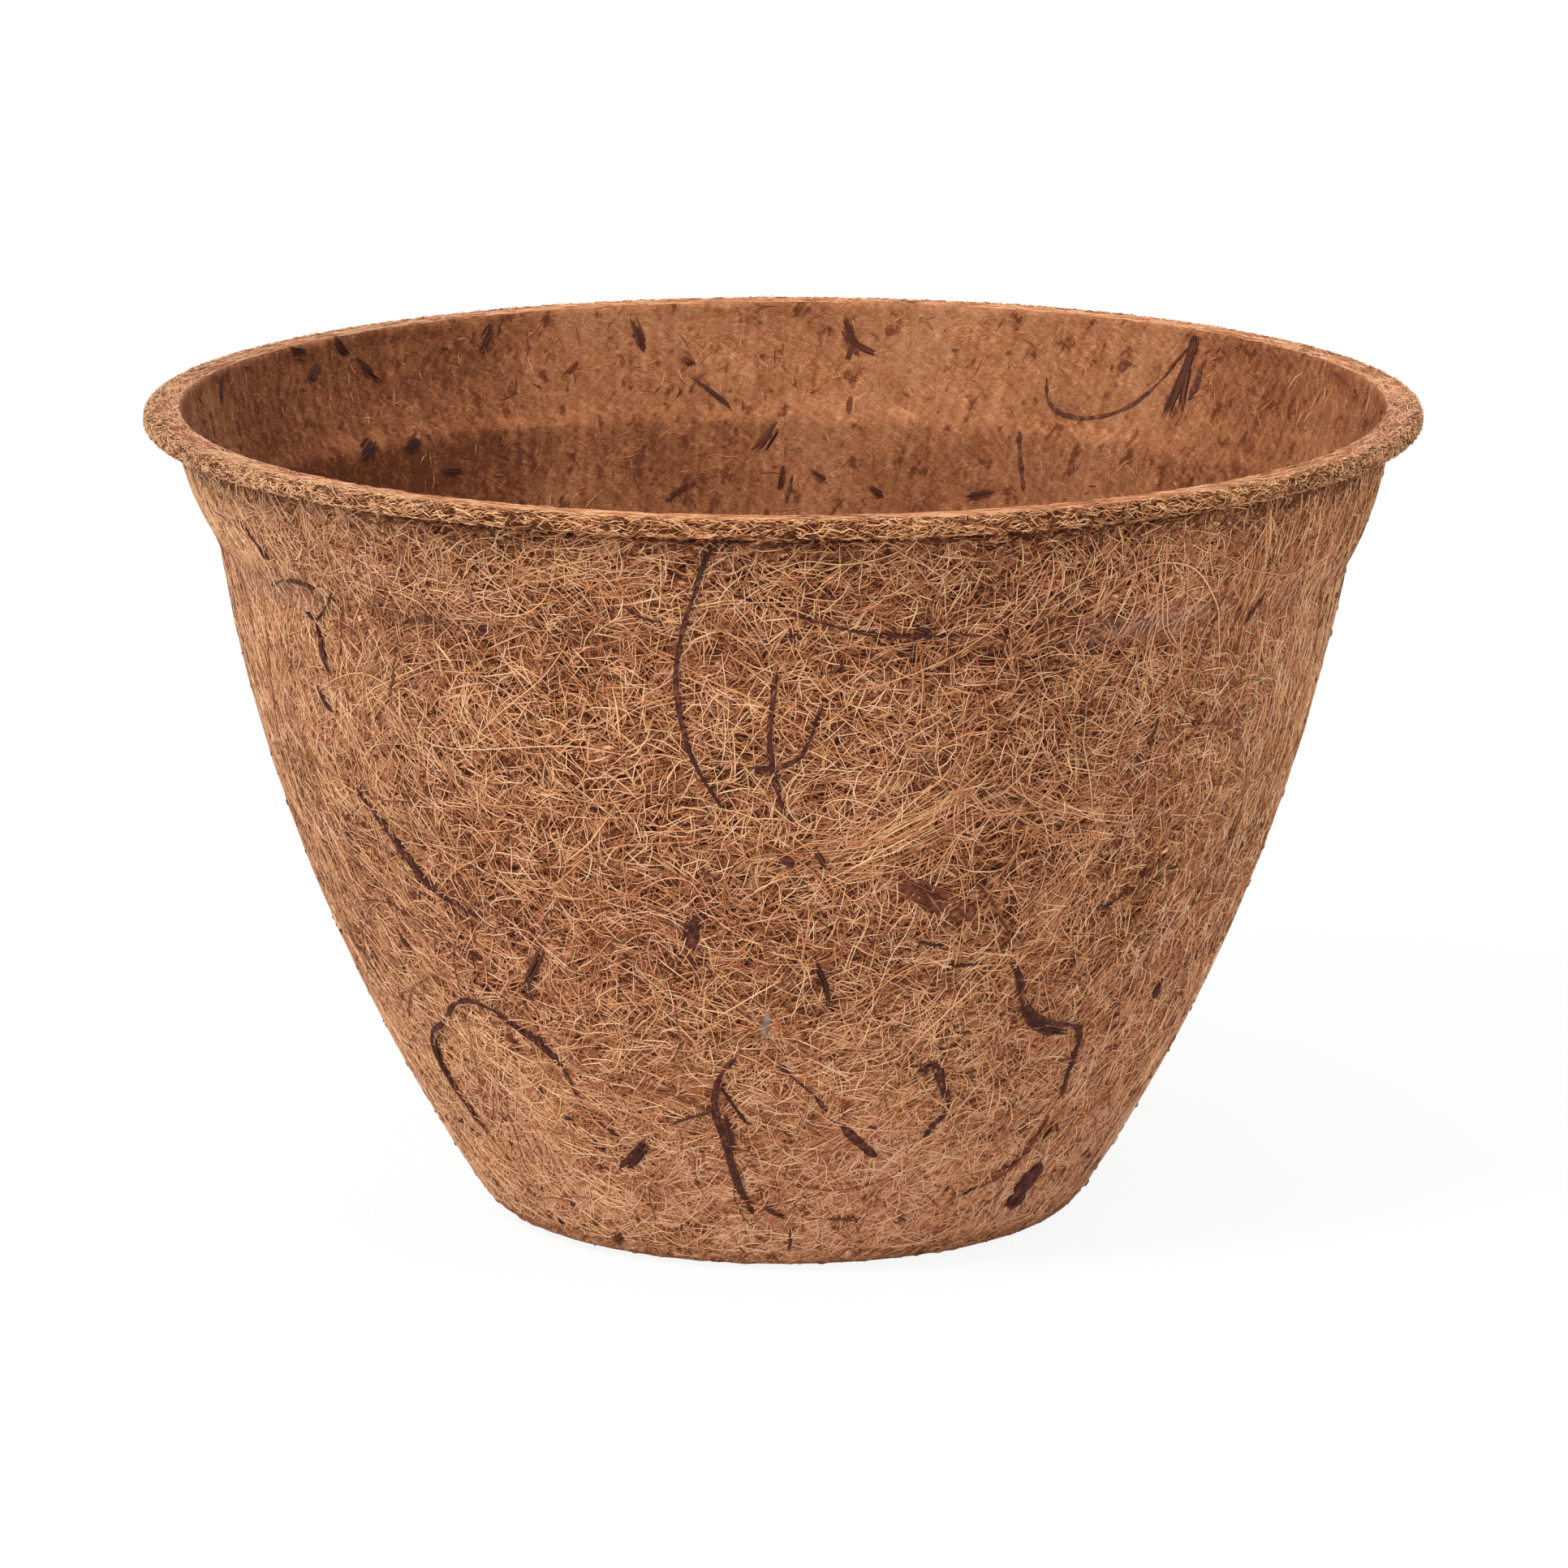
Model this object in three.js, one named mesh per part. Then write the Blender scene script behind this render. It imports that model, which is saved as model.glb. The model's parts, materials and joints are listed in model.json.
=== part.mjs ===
// Coir pot: a round plant pot pressed from coconut fibre felt, with the coarse husk strands,
// twigs and flakes that came in with the fibre lying on its outer and inner faces.
// Millimetres, +Z up. The origin is on the ground under the middle of the pot, and the front is at -Y.

import * as THREE from 'three';

// Felt shell
const RIM_DIAMETER = 200;
const POT_HEIGHT = 128;
const BASE_DIAMETER = 91; // where the lines of the wall and the underside would meet
const WALL_THICKNESS = 2.4;
const BASE_THICKNESS = 3;
const WALL_BULGE = 6; // how far the wall swells out from a straight line between base and shoulder
const BASE_ROUND = 4; // length taken off each side of the corner between underside and wall
const FLOOR_ROUND = 2.5; // the same at the corner of the inner floor
const RIM_THICKNESS = 2.6;
const RIM_OVERHANG = 4.7; // how far the rim stands out past the top of the collar
const RIM_EDGE_ROUND = 0.6;
const RIM_MOUTH_ROUND = 1.6; // length taken off the edge between the rim's top and the inner face
const COLLAR_HEIGHT = 19; // from the foot of the shoulder to the underside of the rim
const COLLAR_STEP = 6.8; // how far the top of the collar stands out from the foot of the shoulder
const SHOULDER_STEP = 4.8; // how far the slant of the shoulder leads out
const SHOULDER_RISE = 7.4; // and how far it leads up
const SHOULDER_ROUND = 1.6; // length taken off each side of the crease at the foot of the shoulder

// Husk pieces
const SEAT_GAP = 0.3; // between a husk piece and the felt that it lies on, and between crossing pieces
const HUSK_STEP = 3.5; // distance between the sections of a strand
const TIP_SHARE = 0.3; // width of a strand's tips, as a share of its middle
const FLAKE_TIP_SHARE = 0.45;

// Facets
const ROUND_SEGMENTS = 64;
const WALL_STEPS = 11;
const COLLAR_STEPS = 7;
const CORNER_STEPS = 3;
const SECTION_SIDES = 6;

const FELT = { color: 0xae7a58, roughness: 0.95, metalness: 0 };
const DARK_HUSK = { color: 0x3f2a28, roughness: 0.7, metalness: 0 };
const RED_HUSK = { color: 0x7a3d26, roughness: 0.8, metalness: 0 };
const GREY_HUSK = { color: 0x7d6a5c, roughness: 0.75, metalness: 0 };

const pot = new THREE.Group();

function addPiece(name, geometry, finish) {
  const mesh = new THREE.Mesh(geometry, new THREE.MeshStandardMaterial(finish));
  mesh.name = name;
  pot.add(mesh);
}

// Points along a profile curve, leaving out a length at each end.
function pointsAlong(curve, skipStart, skipEnd, steps) {
  const length = curve.getLength();
  const points = [];
  for (let step = 0; step <= steps; step += 1) {
    const distance = THREE.MathUtils.lerp(skipStart, length - skipEnd, step / steps);
    points.push(curve.getPointAt(distance / length));
  }
  return points;
}

// The points of a rounded corner, from one point to another, with its two ends.
function roundCorner(from, corner, to) {
  return new THREE.QuadraticBezierCurve(from, corner, to).getPoints(CORNER_STEPS);
}

// A face moved square to itself, towards the inside of the pot.
function inset(points, distance) {
  return points.map((point, index) => {
    const before = points[Math.max(index - 1, 0)];
    const after = points[Math.min(index + 1, points.length - 1)];
    const along = after.clone().sub(before).normalize();
    return new THREE.Vector2(point.x - along.y * distance, point.y + along.x * distance);
  });
}

// Outer face of the felt, from just above the base corner to the underside of the rim:
// a swelling wall, a crease at the foot of the shoulder, and a collar that leans out and straightens.
const rimRadius = RIM_DIAMETER / 2;
const rimUnderside = POT_HEIGHT - RIM_THICKNESS;
const baseEdge = new THREE.Vector2(BASE_DIAMETER / 2, 0);
const collarTop = new THREE.Vector2(rimRadius - RIM_OVERHANG, rimUnderside);
const shoulderFoot = new THREE.Vector2(collarTop.x - COLLAR_STEP, rimUnderside - COLLAR_HEIGHT);
const shoulderTop = new THREE.Vector2(shoulderFoot.x + SHOULDER_STEP, shoulderFoot.y + SHOULDER_RISE);
const wallMiddle = baseEdge.clone().lerp(shoulderFoot, 0.5);
const wallLine = shoulderFoot.clone().sub(baseEdge).normalize();
const wallSwell = new THREE.Vector2(wallLine.y, -wallLine.x).multiplyScalar(2 * WALL_BULGE).add(wallMiddle);

const wall = pointsAlong(
  new THREE.QuadraticBezierCurve(baseEdge, wallSwell, shoulderFoot),
  BASE_ROUND,
  SHOULDER_ROUND,
  WALL_STEPS,
);
const collar = pointsAlong(
  new THREE.QuadraticBezierCurve(shoulderFoot, shoulderTop, collarTop),
  SHOULDER_ROUND,
  0,
  COLLAR_STEPS,
);
const crease = roundCorner(wall.at(-1), shoulderFoot, collar[0]).slice(1, -1);
const outerFace = [...wall, ...crease, ...collar];

// Inner face: the felt's thickness inside the outer one, down to the rounded corner of the floor.
const innerFace = inset(outerFace, WALL_THICKNESS).filter((point) => point.y > BASE_THICKNESS + FLOOR_ROUND / 2);
const [innerLow, innerNext] = innerFace;
const innerSlope = (innerNext.x - innerLow.x) / (innerNext.y - innerLow.y);
const floorEdge = new THREE.Vector2(
  innerLow.x - (innerLow.y - BASE_THICKNESS) * innerSlope,
  BASE_THICKNESS,
);
const mouthEdge = new THREE.Vector2(innerFace.at(-1).x, POT_HEIGHT);

// The whole profile runs from the middle of the underside, up the outside, over the rim
// and down the inside to the middle of the floor.
const shellProfile = [
  new THREE.Vector2(0, 0),
  ...roundCorner(new THREE.Vector2(baseEdge.x - BASE_ROUND, 0), baseEdge, outerFace[0]).slice(0, -1),
  ...outerFace,
  ...roundCorner(
    new THREE.Vector2(rimRadius - RIM_EDGE_ROUND, rimUnderside),
    new THREE.Vector2(rimRadius, rimUnderside),
    new THREE.Vector2(rimRadius, rimUnderside + RIM_EDGE_ROUND),
  ),
  ...roundCorner(
    new THREE.Vector2(rimRadius, POT_HEIGHT - RIM_EDGE_ROUND),
    new THREE.Vector2(rimRadius, POT_HEIGHT),
    new THREE.Vector2(rimRadius - RIM_EDGE_ROUND, POT_HEIGHT),
  ),
  ...roundCorner(new THREE.Vector2(mouthEdge.x + RIM_MOUTH_ROUND, POT_HEIGHT), mouthEdge, innerFace.at(-1)),
  ...innerFace.slice(0, -1).reverse(),
  ...roundCorner(innerLow, floorEdge, new THREE.Vector2(floorEdge.x - FLOOR_ROUND, BASE_THICKNESS)).slice(1),
  new THREE.Vector2(0, BASE_THICKNESS),
];
const shell = new THREE.LatheGeometry(shellProfile, ROUND_SEGMENTS);
shell.rotateX(Math.PI / 2);
addPiece('felt_shell', shell, FELT);

// A place on a face of the pot: degrees from the front towards +X, and a share of the face's height.
function placeOn(face, degrees, share) {
  const height = THREE.MathUtils.lerp(face[0].y, face.at(-1).y, share);
  const above = face.findIndex((point) => point.y >= height);
  const upper = Math.min(Math.max(above, 1), face.length - 1);
  const low = face[upper - 1];
  const high = face[upper];
  const slope = (high.x - low.x) / (high.y - low.y);
  const radius = low.x + (height - low.y) * slope;
  const angle = THREE.MathUtils.degToRad(degrees);
  const outward = new THREE.Vector3(Math.sin(angle), -Math.cos(angle), 0);
  return {
    point: outward.clone().multiplyScalar(radius).setZ(height),
    normal: outward.clone().setZ(-slope).normalize(),
  };
}

// A piece of husk: a flattened section led over a face of the pot, narrower at its tips.
// A route point holds degrees, a share of the face's height, and how far the piece is lifted
// off the felt there where it crosses another one.
function huskGeometry(face, facing, route, width, thickness, tipShare) {
  const map = new THREE.CatmullRomCurve3(
    route.map(([degrees, share, lift = 0]) => new THREE.Vector3(degrees, share * 100, lift)),
    false,
    'centripetal',
  );
  const places = (count) => map.getSpacedPoints(count).map(({ x, y, z }) => {
    const place = placeOn(face, x, y / 100);
    place.normal.multiplyScalar(facing);
    return { ...place, lift: z };
  });
  const rough = places(route.length * 4);
  let length = 0;
  for (let index = 1; index < rough.length; index += 1) {
    length += rough[index].point.distanceTo(rough[index - 1].point);
  }
  const steps = Math.max(3, Math.ceil(length / HUSK_STEP));
  const rings = places(steps);
  const positions = [];
  rings.forEach(({ point, normal, lift }, index) => {
    const before = rings[Math.max(index - 1, 0)].point;
    const after = rings[Math.min(index + 1, steps)].point;
    const across = after.clone().sub(before).cross(normal).normalize();
    const fromMiddle = (2 * index) / steps - 1;
    const swell = tipShare + (1 - tipShare) * Math.sqrt(1 - fromMiddle * fromMiddle);
    const halfWidth = (width * swell) / 2;
    const halfThickness = (thickness * swell) / 2;
    for (let side = 0; side < SECTION_SIDES; side += 1) {
      const turn = (2 * Math.PI * side) / SECTION_SIDES;
      const corner = point.clone();
      corner.addScaledVector(across, halfWidth * Math.cos(turn));
      corner.addScaledVector(normal, SEAT_GAP + lift + halfThickness * (1 + Math.sin(turn)));
      positions.push(corner.x, corner.y, corner.z);
    }
  });
  const faces = [];
  for (let ring = 0; ring < steps; ring += 1) {
    for (let side = 0; side < SECTION_SIDES; side += 1) {
      const next = (side + 1) % SECTION_SIDES;
      const a = ring * SECTION_SIDES + side;
      const b = ring * SECTION_SIDES + next;
      faces.push(a, a + SECTION_SIDES, b, b, a + SECTION_SIDES, b + SECTION_SIDES);
    }
  }
  const lastRing = steps * SECTION_SIDES;
  for (let side = 1; side < SECTION_SIDES - 1; side += 1) {
    faces.push(0, side, side + 1);
    faces.push(lastRing, lastRing + side + 1, lastRing + side);
  }
  const geometry = new THREE.BufferGeometry();
  geometry.setAttribute('position', new THREE.Float32BufferAttribute(positions, 3));
  geometry.setIndex(faces);
  return geometry;
}

function addStrand(name, face, route, width, thickness, finish = DARK_HUSK) {
  const facing = face === outerFace ? 1 : -1;
  addPiece(name, huskGeometry(face, facing, route, width, thickness, TIP_SHARE), finish);
}

function addFlake(name, face, route, width, thickness, finish = DARK_HUSK) {
  const facing = face === outerFace ? 1 : -1;
  addPiece(name, huskGeometry(face, facing, route, width, thickness, FLAKE_TIP_SHARE), finish);
}

// Strands on the front of the pot, from the rim downwards
const CROSSED_THICKNESS = 0.6; // of the strand that the crossing strand goes over
const OVER = CROSSED_THICKNESS + SEAT_GAP;

addStrand('hanging_strand', outerFace, [
  [-6.4, 0.985], [-8, 0.925], [-9.4, 0.875], [-10.4, 0.82], [-10.3, 0.77], [-9, 0.7], [-6.3, 0.64],
], 1.5, 0.8);
addStrand('side_twig', outerFace, [[-14.8, 0.9], [-12.8, 0.885], [-11.2, 0.88]], 0.6, 0.5);
addStrand('collar_strand', outerFace, [
  [-5.2, 0.93], [-3.2, 0.915], [0, 0.9], [4, 0.885], [8, 0.87], [13, 0.866], [17, 0.866], [22, 0.858],
], 0.8, 0.5);
addStrand('middle_strand', outerFace, [
  [-0.6, 0.82], [-1.3, 0.775], [-1.5, 0.72], [-1.1, 0.68], [0.2, 0.63],
], 1, CROSSED_THICKNESS);
addStrand('crossing_strand', outerFace, [
  [3.8, 0.78], [3, 0.75], [2.2, 0.722, OVER / 2], [0.6, 0.7, OVER], [-1.2, 0.695, OVER], [-3.4, 0.695, OVER / 2],
], 0.9, 0.5);
addStrand('bent_strand', outerFace, [
  [28.5, 0.41], [30.2, 0.375], [32.5, 0.338], [36, 0.317], [40, 0.307], [42, 0.293], [42.4, 0.255], [43.3, 0.195],
], 1.5, 0.8);
addStrand('trailing_strand', outerFace, [
  [44.4, 0.162], [42.6, 0.13], [38.6, 0.11], [33, 0.085], [29.7, 0.07],
], 0.6, 0.5);
addStrand('left_diagonal_strand', outerFace, [
  [-52.7, 0.607], [-50.4, 0.58], [-48, 0.546], [-46, 0.52], [-44.4, 0.495], [-41, 0.477], [-36.6, 0.458],
], 1.1, 0.6);
addStrand('looped_strand', outerFace, [
  [-52.1, 0.115], [-55.2, 0.177], [-57.2, 0.223], [-55.4, 0.263], [-50.2, 0.295], [-45.7, 0.33], [-41.5, 0.335],
  [-35.2, 0.308], [-31.5, 0.28], [-30.2, 0.24], [-28.8, 0.195], [-24.2, 0.165],
], 1.1, 0.7);
addStrand('low_front_strand', outerFace, [
  [-5.9, 0.298], [-8.5, 0.265], [-9.5, 0.22], [-8.3, 0.168], [-7.7, 0.125], [-6.6, 0.09], [-5.1, 0.062],
], 1.4, 0.7);
addStrand('low_diagonal_strand', outerFace, [[-1.2, 0.291], [2.2, 0.258], [5.1, 0.23], [6, 0.216]], 0.8, 0.5);
addStrand('right_twig', outerFace, [[38.7, 0.468], [40.9, 0.481], [43.3, 0.498], [45.3, 0.515]], 0.7, 0.6);
addStrand('hooked_strand', outerFace, [
  [18, 0.276], [19.8, 0.282], [21.2, 0.258], [23, 0.228], [23.5, 0.212], [21.9, 0.187], [20.6, 0.168],
], 1.2, 0.5);
addStrand('foot_twig_left', outerFace, [[-3.4, 0.077], [-1.2, 0.065], [0.6, 0.055]], 0.8, 0.5);
addStrand('foot_twig_middle', outerFace, [[1, 0.034], [1.1, 0.022], [1.2, 0.01]], 0.9, 0.5);
addStrand('foot_twig_right', outerFace, [[9.5, 0.05], [12, 0.053], [14.3, 0.054]], 0.8, 0.5);
addStrand('short_dark_strand', outerFace, [[-20.5, 0.169], [-23.4, 0.143], [-26.2, 0.12]], 1.2, 0.5);

// Strands on the left and right of the shoulder and wall
addStrand('shoulder_strand', outerFace, [[-63.1, 0.93], [-61.8, 0.917], [-60.2, 0.9], [-59, 0.88]], 0.8, 0.5);
addStrand('pressed_strand', outerFace, [[-61.8, 0.838], [-58.6, 0.853], [-55.5, 0.86], [-51.5, 0.861]], 0.9, 0.4);
addStrand('forked_strand', outerFace, [[-48.9, 0.86], [-51.4, 0.834], [-53, 0.815], [-55.4, 0.82]], 0.8, 0.4);
addStrand('left_sliver', outerFace, [[-52.6, 0.797], [-53.4, 0.78], [-53.1, 0.766], [-52.3, 0.75]], 1, 0.5);
addStrand('red_strand', outerFace, [
  [-39, 0.846], [-40.8, 0.825], [-41.6, 0.795], [-42.8, 0.758], [-44.2, 0.731], [-46.6, 0.703],
], 0.6, 0.5, RED_HUSK);
addStrand('right_sliver', outerFace, [[41.2, 0.723], [40.7, 0.7], [40.7, 0.68]], 0.7, 0.5);

// Flakes on the front of the pot
addFlake('oval_flake', outerFace, [[-10.3, 0.493], [-10.5, 0.468], [-10.7, 0.444]], 2.8, 0.5);
addFlake('rust_flake', outerFace, [[15.2, 0.663], [16.8, 0.664], [18.4, 0.662]], 2, 0.4, RED_HUSK);
addFlake('brown_flake', outerFace, [[12.5, 0.54], [17, 0.507], [22, 0.48]], 4.5, 0.4, RED_HUSK);
addFlake('two_lobed_flake', outerFace, [[45.6, 0.1], [44.7, 0.07], [44.3, 0.035]], 2.2, 0.5);
addFlake('diagonal_flake', outerFace, [[8.2, 0.194], [10.8, 0.17], [13.8, 0.146]], 1.7, 0.5);
addFlake('middle_flake', outerFace, [[-0.8, 0.586], [0, 0.573], [0.9, 0.562]], 1.6, 0.5);
addFlake('grey_twig', outerFace, [[-1.9, 0.366], [-2.2, 0.344], [-2.7, 0.322]], 1.5, 0.7, GREY_HUSK);
addFlake('shoulder_flake', outerFace, [[53.9, 0.873], [53.5, 0.855], [52.3, 0.834]], 1.2, 0.4);

// Strands and flakes on the inner face, on the far side
addStrand('inner_hooked_strand', innerFace, [
  [152, 0.935], [151.4, 0.905], [149, 0.891], [145, 0.895], [141.6, 0.912], [138.9, 0.941], [136.8, 0.972],
], 0.9, 0.5);
addFlake('inner_dark_flake', innerFace, [[133.5, 0.972], [133.6, 0.95], [134.2, 0.93]], 1.6, 0.4);
addStrand('inner_long_splinter', innerFace, [[153.8, 0.87], [153.2, 0.83], [152.5, 0.788]], 1.1, 0.5);
addStrand('inner_back_splinter', innerFace, [[174.1, 0.98], [173.2, 0.96], [172.2, 0.948]], 1, 0.5);
addStrand('inner_left_splinter', innerFace, [[-164.3, 0.982], [-165, 0.967], [-165.6, 0.952]], 1.1, 0.5);
addStrand('inner_far_left_splinter', innerFace, [[-149.2, 0.982], [-148.4, 0.975], [-147.4, 0.968]], 0.9, 0.5);
addStrand('inner_middle_splinter', innerFace, [[-179.2, 0.864], [-177.8, 0.845], [-176.4, 0.825]], 0.9, 0.5);
addStrand('inner_low_splinter', innerFace, [[-170.2, 0.784], [-168.4, 0.772], [-166.6, 0.76]], 0.9, 0.5);
addStrand('inner_lowest_splinter', innerFace, [[179, 0.794], [179.4, 0.775], [179.8, 0.754]], 0.9, 0.5);

// Strands and flakes of the same sort on the back and on the near inner face
addStrand('back_hanging_strand', outerFace, [[150, 0.96], [147, 0.85], [149, 0.72], [156, 0.6]], 1.4, 0.7);
addStrand('back_bent_strand', outerFace, [
  [-170, 0.3], [-164, 0.375], [-155, 0.395], [-150, 0.33], [-150, 0.22],
], 1.3, 0.7);
addStrand('back_cross_strand', outerFace, [[-118, 0.73], [-128, 0.7], [-138, 0.735], [-147, 0.71]], 0.8, 0.5);
addStrand('back_low_strand', outerFace, [[178, 0.21], [172, 0.13], [168, 0.06]], 1.1, 0.6);
addStrand('back_diagonal_strand', outerFace, [[108, 0.62], [115, 0.54], [124, 0.47], [131, 0.45]], 1, 0.6);
addFlake('back_oval_flake', outerFace, [[-135, 0.5], [-134.7, 0.475], [-134.3, 0.45]], 2.8, 0.5);
addFlake('back_rust_flake', outerFace, [[160, 0.425], [162, 0.427], [164, 0.424]], 2, 0.4, RED_HUSK);
addStrand('inner_near_strand', innerFace, [[-20, 0.62], [-13, 0.55], [-5, 0.52]], 0.9, 0.5);
addFlake('inner_near_flake', innerFace, [[38, 0.72], [38.6, 0.695], [39.4, 0.67]], 1.8, 0.4);

export default pot;
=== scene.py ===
import json
import math
from functools import partial

import bmesh
import bpy
import numpy as np
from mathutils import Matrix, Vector, noise


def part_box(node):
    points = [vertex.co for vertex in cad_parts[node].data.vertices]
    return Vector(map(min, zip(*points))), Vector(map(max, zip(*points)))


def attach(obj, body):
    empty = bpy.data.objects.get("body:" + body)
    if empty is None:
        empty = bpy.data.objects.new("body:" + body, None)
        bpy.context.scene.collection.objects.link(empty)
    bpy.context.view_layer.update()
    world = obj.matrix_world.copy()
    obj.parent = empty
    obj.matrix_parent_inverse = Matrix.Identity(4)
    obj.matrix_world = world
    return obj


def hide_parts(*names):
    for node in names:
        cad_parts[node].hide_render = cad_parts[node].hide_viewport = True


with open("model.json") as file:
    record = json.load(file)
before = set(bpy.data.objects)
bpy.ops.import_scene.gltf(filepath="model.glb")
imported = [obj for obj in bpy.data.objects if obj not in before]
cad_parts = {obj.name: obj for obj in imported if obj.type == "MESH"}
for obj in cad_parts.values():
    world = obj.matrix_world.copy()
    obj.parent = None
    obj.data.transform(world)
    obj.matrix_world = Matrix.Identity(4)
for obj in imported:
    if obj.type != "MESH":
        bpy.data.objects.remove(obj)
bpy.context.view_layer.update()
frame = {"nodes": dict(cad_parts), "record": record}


# The photograph's view
# A long lens stands a metre and a half in front of the pot, above its rim, and looks
# a little down, so that the far inner wall shows through the mouth.
CAMERA_DISTANCE = 1.5357
CAMERA_HEIGHT = 0.4013
CAMERA_PITCH = 12.283
CAMERA_LENS = 229.08

camera_data = bpy.data.cameras.new("photo_view")
camera_data.lens = CAMERA_LENS
camera_data.sensor_width = 36
camera_data.clip_end = 20
camera = bpy.data.objects.new("photo_view", camera_data)
camera.location = (0, -CAMERA_DISTANCE, CAMERA_HEIGHT)
camera.rotation_euler = (math.radians(90 - CAMERA_PITCH), 0, 0)
bpy.context.collection.objects.link(camera)
bpy.context.scene.camera = camera
bpy.context.scene.view_settings.view_transform = "Standard"


# The studio
# A white room: an even sky, one broad lamp high on the left, weaker ones around and above,
# and a white floor that keeps the pot's soft shadow.
SKY_STRENGTH = 0.42
LAMPS = {
    "left_lamp": {"place": (-1.0, -1.0, 1.4), "size": 0.7, "watts": 34},
    "right_lamp": {"place": (1.4, -0.9, 0.7), "size": 1.0, "watts": 5},
    "front_lamp": {"place": (-0.3, -1.7, 0.3), "size": 0.9, "watts": 14},
    "top_lamp": {"place": (0.1, -0.1, 1.8), "size": 1.0, "watts": 13},
    "back_lamp": {"place": (0.6, 1.6, 0.5), "size": 1.2, "watts": 14},
}
LAMP_AIM = Vector((0, 0, 0.08))
FLOOR_SIZE = 12
FLOOR_WHITE = (0.9, 0.9, 0.9, 1)
FLOOR_GLOW = 0.9
WHITE = (1, 1, 1, 1)


def join(output, socket):
    """A link from an output of one node to an input of another."""
    output.id_data.links.new(output, socket)


def sum_node(operation, first, second=0.5, clamp=False):
    """A Math node; each input is an output of another node or a plain number."""
    tree = (second if isinstance(first, (int, float)) else first).id_data
    node = tree.nodes.new("ShaderNodeMath")
    node.operation = operation
    node.use_clamp = clamp
    for socket, value in zip(node.inputs, (first, second)):
        if isinstance(value, (int, float)):
            socket.default_value = value
        else:
            join(value, socket)
    return node.outputs["Value"]


plus = partial(sum_node, "ADD")
minus = partial(sum_node, "SUBTRACT")
times = partial(sum_node, "MULTIPLY")
larger = partial(sum_node, "MAXIMUM")
above = partial(sum_node, "GREATER_THAN")
size_of = partial(sum_node, "ABSOLUTE")


def in_sight(tree):
    """A mask of what the camera sees, straight, in a gloss or through glass."""
    rays = tree.nodes.new("ShaderNodeLightPath").outputs
    return larger(larger(rays["Is Camera Ray"], rays["Is Glossy Ray"]), rays["Is Transmission Ray"])


def blend_into(output, mask, surface, other):
    """Two surfaces blended by a mask and sent to an output."""
    node = mask.id_data.nodes.new("ShaderNodeMixShader")
    for socket, value in zip(node.inputs, (mask, surface, other)):
        join(value, socket)
    join(node.outputs["Shader"], output.inputs["Surface"])


def new_finish(name, roughness, shine):
    """A material, its node tree and its surface."""
    material = bpy.data.materials.new(name)
    material.use_nodes = True
    surface = material.node_tree.nodes["Principled BSDF"]
    surface.inputs["Roughness"].default_value = roughness
    surface.inputs["Specular IOR Level"].default_value = shine
    return material, material.node_tree, surface


world = bpy.data.worlds.new("white_room")
world.use_nodes = True
bpy.context.scene.world = world
sky = world.node_tree
dim = sky.nodes["Background"]
bright = sky.nodes.new("ShaderNodeBackground")
for light, strength in ((dim, SKY_STRENGTH), (bright, 1)):
    light.inputs["Color"].default_value = WHITE
    light.inputs["Strength"].default_value = strength
sky_out = sky.nodes["World Output"]
blend_into(sky_out, in_sight(sky), dim.outputs["Background"], bright.outputs["Background"])

for lamp_name, lamp in LAMPS.items():
    lamp_data = bpy.data.lights.new(lamp_name, "AREA")
    lamp_data.size = lamp["size"]
    lamp_data.energy = lamp["watts"]
    lamp_object = bpy.data.objects.new(lamp_name, lamp_data)
    lamp_object.location = lamp["place"]
    aim = LAMP_AIM - lamp_object.location
    lamp_object.rotation_euler = aim.to_track_quat("-Z", "Y").to_euler()
    bpy.context.collection.objects.link(lamp_object)

floor_shape = bmesh.new()
bmesh.ops.create_grid(floor_shape, x_segments=1, y_segments=1, size=FLOOR_SIZE / 2)
floor_mesh = bpy.data.meshes.new("studio_floor")
floor_shape.to_mesh(floor_mesh)
floor_shape.free()
studio_floor = bpy.data.objects.new("studio_floor", floor_mesh)
bpy.context.collection.objects.link(studio_floor)
floor_paper, tree, surface = new_finish("floor_paper", roughness=0.9, shine=0)
surface.inputs["Base Color"].default_value = FLOOR_WHITE
glow = tree.nodes.new("ShaderNodeEmission").outputs["Emission"]
glowing = times(in_sight(tree), FLOOR_GLOW)
blend_into(tree.nodes["Material Output"], glowing, surface.outputs["BSDF"], glow)
floor_mesh.materials.append(floor_paper)


# The felt shell
# The pot itself: a mat of coconut fibre and latex, hot-pressed in a mould in one piece,
# with a swelling wall, a stepped collar, a flat rim and a closed base.
FELT = 0.0024
BASE_FELT = 0.003
BASE_RADIUS = 0.0455
UNDERSIDE_RISE = 0.0003
WALL_BULGE = 0.006
BASE_ROUND = 0.004
RIM_FELT = 0.0026
RIM_OVERHANG = 0.0047
RIM_LOW_ROUND = 0.0006
RIM_TOP_ROUND = 0.0016
MOUTH_ROUND = 0.0006
MOUTH_THINNING = 0.0009
INNER_STEP_RISE = 0.0018
INNER_STEP_ROUND = 0.0045
COLLAR_HEIGHT = 0.019
COLLAR_STEP = 0.0068
SHOULDER_STEP = 0.0048
SHOULDER_RISE = 0.0074
CREASE_ROUND = 0.0007
SKIN_STEP = 0.0018
RIM_STEP = 0.0007
SHELL_SIDES = 216
INNER_STEP_LEAD = 0.0014
INNER_STEP_EDGE = (0.0011, 0.0007)
INNER_STEP_BACK = (0.0013, 0.0008)
MOUTH_FLARE = 0.0002
FLOOR_ROUND_RISE = 0.0015
FLOOR_ROUND_LEAD = 0.001
FLOOR_ROUND_RUN = 0.003
SLOPE_REACH = 0.0004
SPRING = 0.0008
COLLAR_TILT = 0.0017
COLLAR_TILT_REACH = 0.012
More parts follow.
